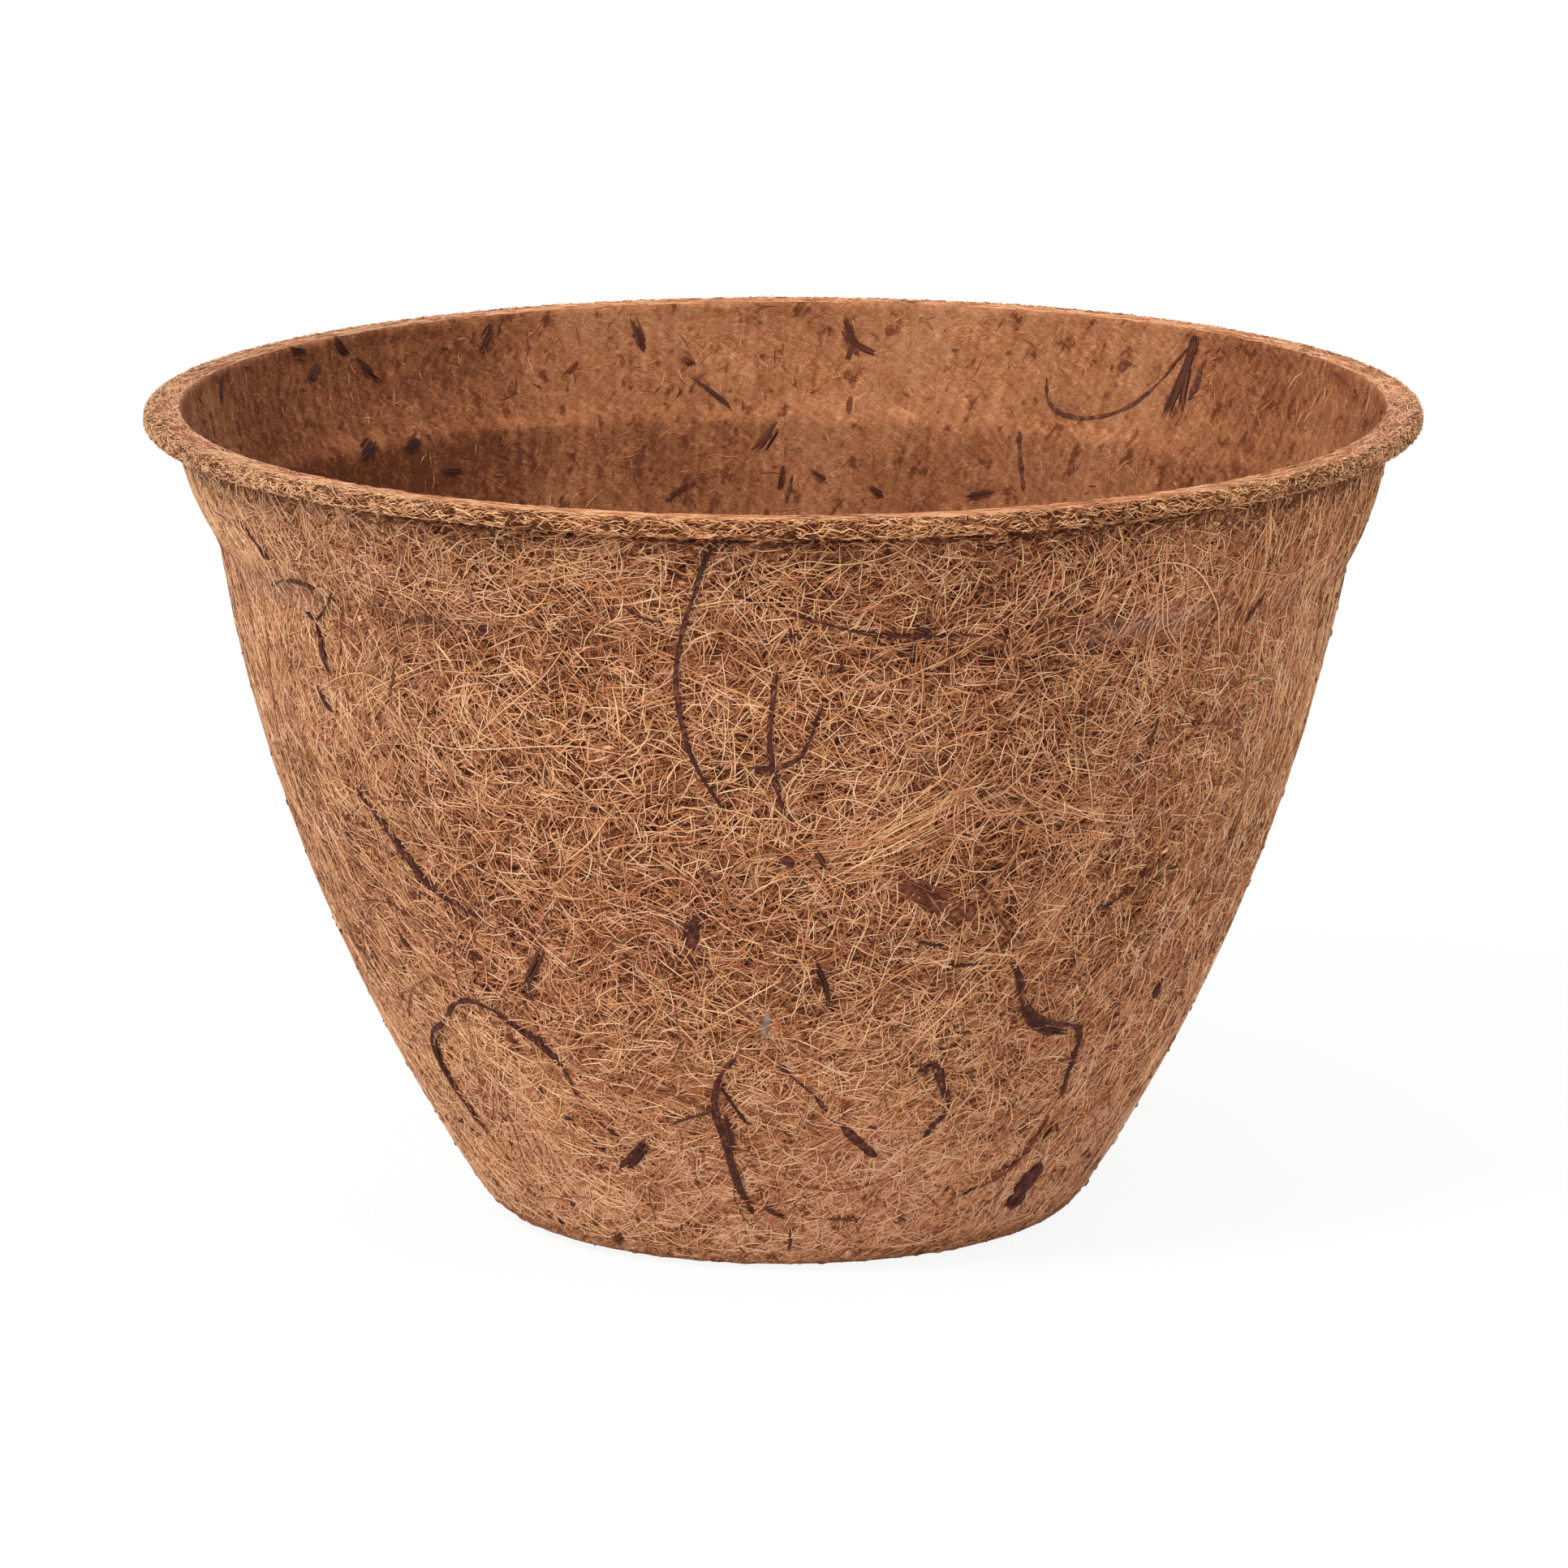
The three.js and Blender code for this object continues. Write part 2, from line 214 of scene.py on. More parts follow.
LUMP_SCALES = (240, 60)
LUMP_HEIGHT = 0.00008
FINE_UNDER_RIM = 0.022
FINE_IN_MOUTH = 0.02
MAP_RADIUS = 0.075
FLAT_NORMAL = 0.97
BASE_ZONE = 0.01
# How far the painted shadow under the rim reaches down and in, how far the cut edge reaches over the top,
# and the map's mark for both.
RIM_SHADOW_BELOW = 0.0009
RIM_SHADOW_INWARD = 0.0012
CUT_EDGE_OVER = 0.0003
EDGE_AND_RIM_SHADOW_SIDE = 3
RELIEF_STRENGTH = 0.7
RELIEF_DEPTH = 0.0003
# Turns of the mat's lines, in degrees, and the smears on the inner face: the turn of each in degrees,
# its width and length in metres, and how strongly it shows.
MAT_TURNS = (8, 95, 47, 128, 70, 155, 25)
SMEARS = ((4, 0.0011, 0.011, 0.34), (-38, 0.0008, 0.006, 0.26), (33, 0.0007, 0.005, 0.24))
# Colours from deep in the felt to its face, each with its shade; the dark end of the loose tints is painted
# shade in the gaps.
LOOSE_TINTS = (
    (0.0, (0.026, 0.007, 0.003)),
    (0.25, (0.12, 0.032, 0.012)),
    (0.6, (0.43, 0.175, 0.078)),
    (1.0, (0.65, 0.36, 0.20)),
)
PRESSED_TINTS = (
    (0.0, (0.14, 0.043, 0.019)),
    (0.25, (0.32, 0.120, 0.050)),
    (0.6, (0.51, 0.245, 0.122)),
)
# Painted shade: the dark of the cut edge's gaps and the painted shadow under the rim.
EDGE_GAP_AND_RIM_SHADOW_TINT = (0.036, 0.009, 0.003)
GROUND_SPECK_TINT = (0.07, 0.018, 0.010)
GROUND_BLOOM_TINT = (0.30, 0.17, 0.15)

shell_low, shell_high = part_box("felt_shell")
rim_radius = (shell_high.x - shell_low.x) / 2
pot_height = shell_high.z


def spot(radius, height):
    """A point of the profile."""
    return np.array((radius, height), float)


def bend(start, corner, end, steps=12):
    """A smooth bend between two points of the profile, led by a corner."""
    t = np.linspace(0, 1, steps + 1)[:, None]
    return (1 - t) ** 2 * start + 2 * t * (1 - t) * corner + t**2 * end


def inset(points, distance):
    """The profile moved square to itself, towards the inside of the pot."""
    along = np.gradient(points, axis=0)
    along /= np.linalg.norm(along, axis=1)[:, None]
    return points + distance * np.c_[-along[:, 1], along[:, 0]]


rim_under = pot_height - RIM_FELT
base_edge = spot(BASE_RADIUS, 0)
collar_top = spot(rim_radius - RIM_OVERHANG, rim_under)
crease = collar_top - spot(COLLAR_STEP, COLLAR_HEIGHT)
collar_lead = crease + spot(SHOULDER_STEP, SHOULDER_RISE)
wall_line = (crease - base_edge) / np.linalg.norm(crease - base_edge)
wall_lead = (base_edge + crease) / 2 + 2 * WALL_BULGE * spot(wall_line[1], -wall_line[0])
wall = bend(base_edge, wall_lead, crease, 80)
wall = wall[(np.linalg.norm(wall - base_edge, axis=1) > BASE_ROUND)]
wall = wall[(np.linalg.norm(wall - crease, axis=1) > CREASE_ROUND)]
collar = bend(crease, collar_lead, collar_top, 24)
collar = collar[(np.linalg.norm(collar - crease, axis=1) > CREASE_ROUND)]
outside = np.vstack([wall, bend(wall[-1], crease, collar[0], 6)[1:-1], collar])
thinning = np.clip((collar[:, 1] - crease[1]) / COLLAR_HEIGHT, 0, 1)[:, None]
run_on = (crease - wall_lead) / np.linalg.norm(crease - wall_lead)
inner_wall = inset(np.vstack([wall, crease, crease + INNER_STEP_RISE * run_on]), FELT)
inner_collar = inset(collar, FELT - MOUTH_THINNING * thinning)
inner_collar = inner_collar[inner_collar[:, 1] > inner_wall[-1, 1] + INNER_STEP_ROUND]
step_corner = inner_wall[-1] + INNER_STEP_LEAD * run_on
step_edge = step_corner + spot(*INNER_STEP_EDGE)
step_back = step_edge + spot(*INNER_STEP_BACK)
inside = np.vstack([
    inner_wall,
    bend(inner_wall[-1], step_corner, step_edge, 8)[1:],
    bend(step_edge, step_back, inner_collar[0], 8)[1:-1],
    inner_collar,
])
inside = inside[inside[:, 1] > BASE_FELT + FLOOR_ROUND_RISE][::-1]
mouth_edge = spot(inside[0, 0] + MOUTH_FLARE, pot_height)
inside = np.vstack([mouth_edge - spot(0, MOUTH_ROUND), inside])
floor_edge = spot(inside[-1, 0] - FLOOR_ROUND_LEAD, BASE_FELT)
parts_of_skin = {
    "underside": np.vstack([
        spot(0, UNDERSIDE_RISE),
        bend(base_edge + spot(-BASE_ROUND, UNDERSIDE_RISE), base_edge, wall[0], 5),
    ]),
    "outside": outside,
    "rim_under": np.vstack([collar_top, spot(rim_radius - RIM_LOW_ROUND, rim_under)]),
    "rim_edge": np.vstack([
        bend(spot(rim_radius - RIM_LOW_ROUND, rim_under), spot(rim_radius, rim_under),
             spot(rim_radius, rim_under + RIM_LOW_ROUND), 4),
        bend(spot(rim_radius, pot_height - RIM_TOP_ROUND), spot(rim_radius, pot_height),
             spot(rim_radius - RIM_TOP_ROUND, pot_height), 8),
    ]),
    "rim_top": np.vstack([
        spot(rim_radius - RIM_TOP_ROUND, pot_height),
        bend(mouth_edge + spot(MOUTH_ROUND, 0), mouth_edge, inside[0], 6),
    ]),
    "inside": inside,
    "floor": np.vstack([
        bend(inside[-1], floor_edge, floor_edge - spot(FLOOR_ROUND_RUN, 0), 5),
        spot(0, BASE_FELT),
    ]),
}

# The skin is the whole profile as one line, from the middle of the underside to the middle of
# the floor, and skin_ends holds where each part of it starts and ends along that line.
skin_points = [parts_of_skin["underside"][0]]
skin_ends = {}
skin_length = 0.0
for part, points in parts_of_skin.items():
    starts = skin_length
    for point in points:
        gap = np.linalg.norm(point - skin_points[-1])
        if gap > 1e-6:
            skin_points.append(point)
            skin_length += gap
    skin_ends[part] = (starts, skin_length)
skin_points = np.array(skin_points)
skin_marks = np.r_[0, np.cumsum(np.linalg.norm(np.diff(skin_points, axis=0), axis=1))]


def skin_at(mark):
    """Radius, height and outward direction of the skin at a distance along it."""
    ahead = np.clip(mark + SLOPE_REACH, 0, skin_length)
    behind = np.clip(mark - SLOPE_REACH, 0, skin_length)
    radius, wider, narrower = (np.interp(m, skin_marks, skin_points[:, 0]) for m in (mark, ahead, behind))
    height, higher, lower = (np.interp(m, skin_marks, skin_points[:, 1]) for m in (mark, ahead, behind))
    size = np.hypot(wider - narrower, higher - lower)
    return radius, height, (higher - lower) / size, (narrower - wider) / size


def out_of_round(angle, height):
    """How far the pressed pot has sprung out of round, growing towards its rim."""
    sprung = 0.55 * np.cos(2 * angle + 0.9) + 0.3 * np.cos(3 * angle - 0.4) + 0.12 * np.cos(7 * angle)
    return SPRING * sprung * (height / pot_height) ** 2


def out_of_level(angle, height):
    """How far the collar's step runs out of level, higher on the left than on the right."""
    return -COLLAR_TILT * np.sin(angle) * np.exp(-(((height - crease[1]) / COLLAR_TILT_REACH) ** 2))


def link_piece(name, mesh, material, slot, *nodes):
    """A finished piece: it rides on the pot, has a finish and may stand for CAD nodes."""
    mesh.materials.clear()
    mesh.materials.append(material)
    piece = bpy.data.objects.new(name, mesh)
    bpy.context.collection.objects.link(piece)
    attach(piece, "root")
    if nodes:
        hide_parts(*nodes)


def ramp(shade, stops):
    """A colour by a shade, from shades and their colours."""
    node = shade.id_data.nodes.new("ShaderNodeValToRGB")
    elements = node.color_ramp.elements
    elements[0].position, elements[1].position = stops[0][0], stops[-1][0]
    elements[0].color, elements[1].color = (*stops[0][1], 1), (*stops[-1][1], 1)
    for place, colour in stops[1:-1]:
        elements.new(place).color = (*colour, 1)
    join(shade, node.inputs["Fac"])
    return node.outputs["Color"]


def between(value, low, high):
    """A smooth mask that rises from 0 to 1 between two values."""
    node = value.id_data.nodes.new("ShaderNodeMapRange")
    node.interpolation_type = "SMOOTHSTEP"
    node.inputs["From Min"].default_value = low
    node.inputs["From Max"].default_value = high
    join(value, node.inputs["Value"])
    return node.outputs["Result"]


def tint(mask, colour, other):
    """A colour mix by a mask; the second colour may be an output or plain numbers."""
    node = mask.id_data.nodes.new("ShaderNodeMix")
    node.data_type = "RGBA"
    join(mask, node.inputs[0])
    join(colour, node.inputs[6])
    if isinstance(other, tuple):
        node.inputs[7].default_value = (*other, 1)
    else:
        join(other, node.inputs[7])
    return node.outputs[2]


def cloud(place, scale, detail, roughness=0.5, flat=False):
    """A noise over places in space, or over a flat map."""
    node = place.id_data.nodes.new("ShaderNodeTexNoise")
    node.noise_dimensions = "2D" if flat else "3D"
    node.inputs["Scale"].default_value = scale
    node.inputs["Detail"].default_value = detail
    node.inputs["Roughness"].default_value = roughness
    join(place, node.inputs["Vector"])
    return node.outputs["Fac"]


def turned(place, turn, size, shift=(0, 0, 0)):
    """A flat map turned by degrees and stretched, for marks that run one way."""
    node = place.id_data.nodes.new("ShaderNodeMapping")
    node.vector_type = "TEXTURE"
    node.inputs["Location"].default_value = shift
    node.inputs["Rotation"].default_value = (0, 0, math.radians(turn))
    node.inputs["Scale"].default_value = (*size, 1)
    join(place, node.inputs["Vector"])
    return node.outputs["Vector"]


def axes_of(place):
    """The X, Y and Z of a place."""
    node = place.id_data.nodes.new("ShaderNodeSeparateXYZ")
    join(place, node.inputs["Vector"])
    return node.outputs


def new_group(name, *results):
    """A node group that makes numbers from a place: the group, the place and the numbers."""
    group = bpy.data.node_groups.new(name, "ShaderNodeTree")
    group.interface.new_socket("Place", in_out="INPUT", socket_type="NodeSocketVector")
    for label in results:
        group.interface.new_socket(label, in_out="OUTPUT", socket_type="NodeSocketFloat")
    place = group.nodes.new("NodeGroupInput").outputs["Place"]
    return group, place, group.nodes.new("NodeGroupOutput").inputs


def made_by(group, place):
    """The numbers that a node group makes from a place."""
    node = place.id_data.nodes.new("ShaderNodeGroup")
    node.node_tree = group
    join(place, node.inputs["Place"])
    return node.outputs


def emboss(surface, height):
    """A fine relief on a surface."""
    node = height.id_data.nodes.new("ShaderNodeBump")
    node.inputs["Strength"].default_value = RELIEF_STRENGTH
    node.inputs["Distance"].default_value = RELIEF_DEPTH
    join(height, node.inputs["Height"])
    join(node.outputs["Normal"], surface.inputs["Normal"])


# What the felt's face and its fibres share: specks of husk dust, a grey bloom along the crease
# where the mould's edge pressed, broad patches of lighter and darker fibre, where the mould left
# the mat loose, away from the foot and the sides, patches of rust-coloured fibre, and a painted
# sheen on the pot's left side.
felt_marks, place, results = new_group("felt_marks", "Specks", "Bloom", "Patch", "Loose", "Rust", "Sheen")
axes = axes_of(place)
from_middle = size_of(axes["X"])
to_left = times(axes["X"], -1.0)
specks = cloud(place, scale=300, detail=3, roughness=0.6)
patch = cloud(place, scale=38, detail=4)
over_crease = between(axes["Z"], 0.103, 0.106)
under_collar = minus(1.0, between(axes["Z"], 0.1075, 0.1105))
bloom = times(times(over_crease, under_collar), between(from_middle, 0.02, 0.05))
bloom = times(bloom, between(patch, 0.38, 0.62))
downward = times(minus(0.06, axes["Z"]), 2.4)
rust = plus(cloud(place, scale=55, detail=3), downward)
off_foot = between(axes["Z"], 0.004, 0.065)
off_sides = minus(1.0, between(from_middle, 0.04, 0.085))
join(between(specks, 0.66, 0.74), results["Specks"])
join(bloom, results["Bloom"])
join(patch, results["Patch"])
join(times(off_foot, off_sides), results["Loose"])
join(between(rust, 0.46, 0.68), results["Rust"])
# Painted sheen: lighter towards the pot's left.
join(between(to_left, 0.02, 0.085), results["Sheen"])

# The mat of short fibres that the felt's own face shows between the fibres that lie on it:
# fine wandering lines in seven directions, laid over each other, each with a tone of its own,
# and dark between them as painted shade in the gaps.
fibre_mat, place, results = new_group("fibre_mat", "Height", "Tone")
drift = cloud(place, scale=110, detail=1, flat=True).node.outputs["Color"]
sway = fibre_mat.nodes.new("ShaderNodeVectorMath")
sway.operation = "MULTIPLY_ADD"
sway.inputs[1].default_value = (0.005, 0.005, 0)
join(drift, sway.inputs[0])
join(place, sway.inputs[2])
height, tone = None, None
for number, turn in enumerate(MAT_TURNS):
    shift = (number * 0.37, number * 0.21, 0)
    run = turned(sway.outputs["Vector"], turn, (0.0036, 0.0005), shift)
    off_line = minus(cloud(run, scale=1, detail=0, flat=True), 0.5)
    off_line = times(size_of(off_line), 9.0)
    line = minus(1.0, off_line, clamp=True)
    own_tone = minus(times(cloud(run, scale=0.55, detail=0, flat=True), 1.9), 0.52)
    own_tone = times(own_tone, plus(line, 0.25), clamp=True)
    level = times(line, 0.52 + 0.08 * number)
    if height is None:
        height, tone = level, times(own_tone, line)
        continue
    over = between(line, 0.05, 0.35)
    height = larger(height, level)
    tone = plus(times(tone, minus(1.0, over)), times(own_tone, over))
join(height, results["Height"])
join(tone, results["Tone"])

# The felt's own face: loose outside and dark between the fibres, as painted shade in the gaps; pressed
# smooth and smeared with latex inside, with painted light and shade there; and dark in the gaps of the
# cut edge and under the rim, as painted shade.
felt_ground, tree, surface = new_finish("felt_ground", roughness=0.85, shine=0.04)
felt_map = tree.nodes.new("ShaderNodeUVMap")
felt_map.uv_map = "felt"
felt_place = felt_map.outputs["UV"]
body_place = tree.nodes.new("ShaderNodeTexCoord").outputs["Object"]
mat = made_by(fibre_mat, felt_place)
spread = made_by(felt_marks, body_place)
patch = minus(spread["Patch"], 0.5)
firm = times(minus(0.68, spread["Loose"]), 0.32)
loose_shade = plus(plus(mat["Tone"], times(patch, 0.35)), firm)
pressed_shade = plus(times(mat["Tone"], 0.2), times(patch, 0.6))
for turn, width, length, strength in SMEARS:
    run = turned(felt_place, turn, (width, length))
    smear = minus(cloud(run, scale=1, detail=2, flat=True), 0.44)
    pressed_shade = plus(pressed_shade, times(smear, strength))
run = turned(felt_place, 14, (0.0026, 0.005))
blots = between(cloud(run, scale=1, detail=4, roughness=0.62, flat=True), 0.58, 0.72)
pressed_shade = minus(pressed_shade, times(blots, 0.3))
axes = axes_of(body_place)
# Painted light above the inner step, painted shade towards the sides and a painted shadow on the left inner
# wall.
above_step = between(axes["Z"], 0.107, 0.112)
painted_light_and_shade = plus(times(above_step, 0.09), 0.1)
side_shade = between(size_of(axes["X"]), 0.03, 0.085)
painted_light_and_shade = minus(painted_light_and_shade, times(side_shade, 0.11))
to_left = times(axes["X"], -1.0)
far_left = times(between(to_left, 0.065, 0.09), 0.6)
shady = minus(between(to_left, 0.015, 0.055), far_left)
shady = times(shady, between(axes["Z"], 0.055, 0.1))
depth = minus(0.17, times(above_step, 0.07))
painted_light_and_shade = minus(painted_light_and_shade, times(shady, depth))
pressed_shade = plus(pressed_shade, painted_light_and_shade)
side = axes_of(felt_place)["Y"]
outer_side = above(side, 0.5)
# Dark on the cut edge and just under the rim: painted shade in the gaps and a painted shadow.
edge_gaps_and_rim_shadow = times(above(side, EDGE_AND_RIM_SHADOW_SIDE - 0.5), 0.82)
speckled = times(spread["Specks"], 0.7)
bloomed = times(times(spread["Bloom"], 0.22), outer_side)
pressed_colour = ramp(pressed_shade, PRESSED_TINTS)
ground_colour = tint(outer_side, pressed_colour, ramp(loose_shade, LOOSE_TINTS))
ground_colour = tint(edge_gaps_and_rim_shadow, ground_colour, EDGE_GAP_AND_RIM_SHADOW_TINT)
ground_colour = tint(speckled, ground_colour, GROUND_SPECK_TINT)
ground_colour = tint(bloomed, ground_colour, GROUND_BLOOM_TINT)
join(ground_colour, surface.inputs["Base Color"])
emboss(surface, mat["Height"])

shell_shape = bmesh.new()
fine_from = skin_ends["outside"][1] - FINE_UNDER_RIM
fine_to = skin_ends["inside"][0] + FINE_IN_MOUTH
ring_marks = np.r_[
    np.arange(0, fine_from, SKIN_STEP),
    np.arange(fine_from, fine_to, RIM_STEP),
    np.arange(fine_to, skin_length, SKIN_STEP),
    skin_length,
]
profile = []
for mark in ring_marks:
    radius, height, _, _ = skin_at(mark)
    profile.append(shell_shape.verts.new((radius, 0, height)))
edges = [shell_shape.edges.new(pair) for pair in zip(profile, profile[1:])]
bmesh.ops.spin(shell_shape, geom=profile + edges, cent=(0, 0, 0), axis=(0, 0, 1),
               angle=2 * math.pi, steps=SHELL_SIDES, use_merge=True)
bmesh.ops.remove_doubles(shell_shape, verts=shell_shape.verts, dist=1e-6)
bmesh.ops.recalc_face_normals(shell_shape, faces=shell_shape.faces)
shell_shape.normal_update()

# The felt's map: lengths round the pot and along the wall, shifted by 1 on the outer face, by -1 on
# the inner face and by 3 on the cut edge and just under the rim, so that the finish can tell them apart
# and paint the last dark, as painted shade in the edge's gaps and a painted shadow under the rim.
felt_uv = shell_shape.loops.layers.uv.new("felt")
for face in shell_shape.faces:
    middle = face.calc_center_median()
    flat = abs(face.normal.z) > FLAT_NORMAL and middle.z < BASE_ZONE
    reach = math.hypot(middle.x, middle.y)
    # Faces just under the rim go with the cut edge, so that they take its painted shadow.
    under_rim_shadow = middle.z > rim_under - RIM_SHADOW_BELOW and reach > collar_top[0] - RIM_SHADOW_INWARD
    if under_rim_shadow and face.normal.z < 0.5 or reach > rim_radius - RIM_TOP_ROUND - CUT_EDGE_OVER:
        side = EDGE_AND_RIM_SHADOW_SIDE
    else:
        side = math.copysign(1, face.normal.x * middle.x + face.normal.y * middle.y)
    turns = [math.atan2(loop.vert.co.x, -loop.vert.co.y) for loop in face.loops]
    if max(turns) - min(turns) > math.pi:
        turns = [turn if turn > 0 else turn + 2 * math.pi for turn in turns]
    for loop, turn in zip(face.loops, turns):
        co = loop.vert.co
        along = math.hypot(co.x, co.y) * 0.5 + co.z
        loop[felt_uv].uv = (co.x + 1, co.y) if flat else (turn * MAP_RADIUS, along + side)

# The pressed pot isn't true: it has small lumps, has sprung out of round, and its step isn't level.
for vert in shell_shape.verts:
    lump = LUMP_HEIGHT * sum(noise.noise(vert.co * scale) for scale in LUMP_SCALES)
    radius = math.hypot(vert.co.x, vert.co.y)
    push = vert.normal * (lump if vert.co.z > 0.0005 else 0)
    if radius > 0.001:
        angle = math.atan2(vert.co.x, -vert.co.y)
        push += Vector((vert.co.x, vert.co.y, 0)) / radius * out_of_round(angle, vert.co.z)
        push.z += out_of_level(angle, vert.co.z)
    vert.co += push

shell_mesh = bpy.data.meshes.new("felt_skin")
shell_shape.to_mesh(shell_mesh)
shell_shape.free()
shell_mesh.shade_smooth()
link_piece("felt_skin", shell_mesh, felt_ground, "coir_felt", "felt_shell")


# Fibres of the outer face
# Short runs of single coconut fibres, a fifth of a millimetre thick, that come up out of the
# felt and dive back into it, curled every way, and held there by the latex.
WALL_LAYERS = 7
SHORT_LAYERS = 4
SHORT_RUNS = {"count": 11600, "points": 3, "length": (0.0024, 0.0056), "radius": (0.000065, 0.000095)}
LONG_RUNS = {"count": 8200, "points": 4, "length": (0.004, 0.0105), "radius": (0.00007, 0.000105)}
# A bare band under the rim, where the ground's painted shadow shows.
UNDER_RIM_GAP = 0.0014
FIBRE_SIDES = 3
RED_TINTS = (
    (0.0, (0.050, 0.012, 0.007)),
    (0.3, (0.25, 0.065, 0.024)),
    (0.6, (0.50, 0.198, 0.084)),
    (1.0, (0.67, 0.38, 0.23)),
)
GOLD_TINTS = (
    (0.0, (0.080, 0.024, 0.009)),
    (0.3, (0.34, 0.122, 0.040)),
    (0.6, (0.57, 0.268, 0.108)),
    (1.0, (0.73, 0.46, 0.24)),
)
FIBRE_SPECK_TINT = (0.10, 0.026, 0.014)
FIBRE_BLOOM_TINT = (0.36, 0.21, 0.18)
# The colour of the painted sheen on the left side.
SHEEN_TINT = (0.44, 0.30, 0.19)

spun_fibre = bpy.data.node_groups.new("spun_fibre", "GeometryNodeTree")
spun_fibre.interface.new_socket("Lines", in_out="INPUT", socket_type="NodeSocketGeometry")
spun_fibre.interface.new_socket("Fibres", in_out="OUTPUT", socket_type="NodeSocketGeometry")
lines_in = spun_fibre.nodes.new("NodeGroupInput")
fibres_out = spun_fibre.nodes.new("NodeGroupOutput")
as_curves = spun_fibre.nodes.new("GeometryNodeMeshToCurve")
section = spun_fibre.nodes.new("GeometryNodeCurvePrimitiveCircle")
section.inputs["Resolution"].default_value = FIBRE_SIDES
section.inputs["Radius"].default_value = 1
thickness = spun_fibre.nodes.new("GeometryNodeInputNamedAttribute")
thickness.data_type = "FLOAT"
thickness.inputs["Name"].default_value = "thickness"
as_tubes = spun_fibre.nodes.new("GeometryNodeCurveToMesh")
as_tubes.inputs["Fill Caps"].default_value = True
join(lines_in.outputs["Lines"], as_curves.inputs["Mesh"])
join(as_curves.outputs["Curve"], as_tubes.inputs["Curve"])
join(section.outputs["Curve"], as_tubes.inputs["Profile Curve"])
join(thickness.outputs["Attribute"], as_tubes.inputs["Scale"])
join(as_tubes.outputs["Mesh"], fibres_out.inputs["Fibres"])


def lay(rng, count, zone, points, length, curl, lean, wander=0.1):
    """Paths of fibres over a zone of the skin: angles round the pot and marks along the skin."""
    low, high = zone
    marks = np.linspace(low, high, 300)
    share = np.cumsum(skin_at(marks)[0])
    mark = np.interp(rng.random(count), share / share[-1], marks)
    angle = rng.uniform(-math.pi, math.pi, count)
    heading = lean(rng, angle, mark)
    turn = rng.normal(0, curl, count)
    step = rng.uniform(*length, count) / (points - 1)
    angles, along = [], []
    for _ in range(points):
        angles.append(angle)
        along.append(mark)
        radius = np.maximum(skin_at(mark)[0], 0.004)
        angle = angle + step * np.cos(heading) / radius
        mark = mark + step * np.sin(heading)
        heading = heading + turn * step + rng.normal(0, wander, count)
        over = (mark < low) | (mark > high)
        heading = np.where(over, -heading, heading)
        turn = np.where(over, -turn, turn)
        mark = np.clip(mark, low, high)
    return np.stack(angles, 1), np.stack(along, 1)


def on_skin(angles, marks, lift):
    """Points over the skin at angles, marks and heights above it."""
    radius, height, out, up = skin_at(marks)
    reach = radius + out * lift + out_of_round(angles, height)
    level = height + up * lift + out_of_level(angles, height)
    return np.stack([reach * np.sin(angles), -reach * np.cos(angles), level], -1)


def arch(points, low, high):
    """Heights of fibres above the skin: their ends dive to low and their middles rise to high."""
    t = np.linspace(0, 1, points)
    return np.asarray(low)[..., None] + np.asarray(high - low)[..., None] * np.sin(math.pi * t) ** 0.6


def tapered(points, radius):
    """Radii along fibres, thinner at the ends."""
    t = np.linspace(0, 1, points)
    return radius[:, None] * (0.65 + 0.35 * np.sin(math.pi * t) ** 0.5)


def shaded(tones, lift, depth=0.00045):
    """Tones along fibres: darker where they dive into the felt and lighter where they ride over it, as
    painted shade and painted light.
    """
    return np.clip(tones[:, None] + 0.45 * np.clip(lift / depth, -0.6, 1), 0, 1)


def spin_fibres(name, angles, marks, lift, radii, tones, gold, even=False):
    """One piece of many fibres, each a closed tube, its tone given painted shade and light along it or even,
    and its gold a share.
    """
    count, points = angles.shape
    shades = np.broadcast_to(tones[:, None], angles.shape) if even else shaded(tones, lift)
    shares = np.repeat(np.broadcast_to(gold, count), points)
    first = np.arange(count * points).reshape(count, points)
    lines = bpy.data.meshes.new(name)
    lines.vertices.add(count * points)
    lines.vertices.foreach_set("co", on_skin(angles, marks, lift).ravel())
    lines.edges.add(count * (points - 1))
    lines.edges.foreach_set("vertices", np.stack([first[:, :-1], first[:, 1:]], -1).ravel())
    for label, values in (("thickness", radii), ("tone", shades), ("gold", shares)):
        lines.attributes.new(label, "FLOAT", "POINT").data.foreach_set("value", values.ravel())
    drawn = bpy.data.objects.new(name, lines)
    bpy.context.collection.objects.link(drawn)
    drawn.modifiers.new("spun", "NODES").node_group = spun_fibre
    mesh = bpy.data.meshes.new_from_object(drawn.evaluated_get(bpy.context.evaluated_depsgraph_get()))
    bpy.data.objects.remove(drawn)
    bpy.data.meshes.remove(lines)
    corners = np.empty(len(mesh.loops), int)
    mesh.loops.foreach_get("vertex_index", corners)
    columns = math.ceil(math.sqrt(count))
    fibre, place = np.divmod(corners, points * FIBRE_SIDES)
    ring, side = np.divmod(place, FIBRE_SIDES)
    across = (fibre % columns + 0.15 + 0.7 * side / FIBRE_SIDES) / columns
    down = (fibre // columns + 0.1 + 0.8 * ring / (points - 1)) / columns
    mesh.uv_layers.new(name="OFBake").data.foreach_set("uv", np.stack([across, down], 1).ravel())
    mesh.shade_smooth()
    link_piece(name, mesh, coir_fibre, "coir_felt")


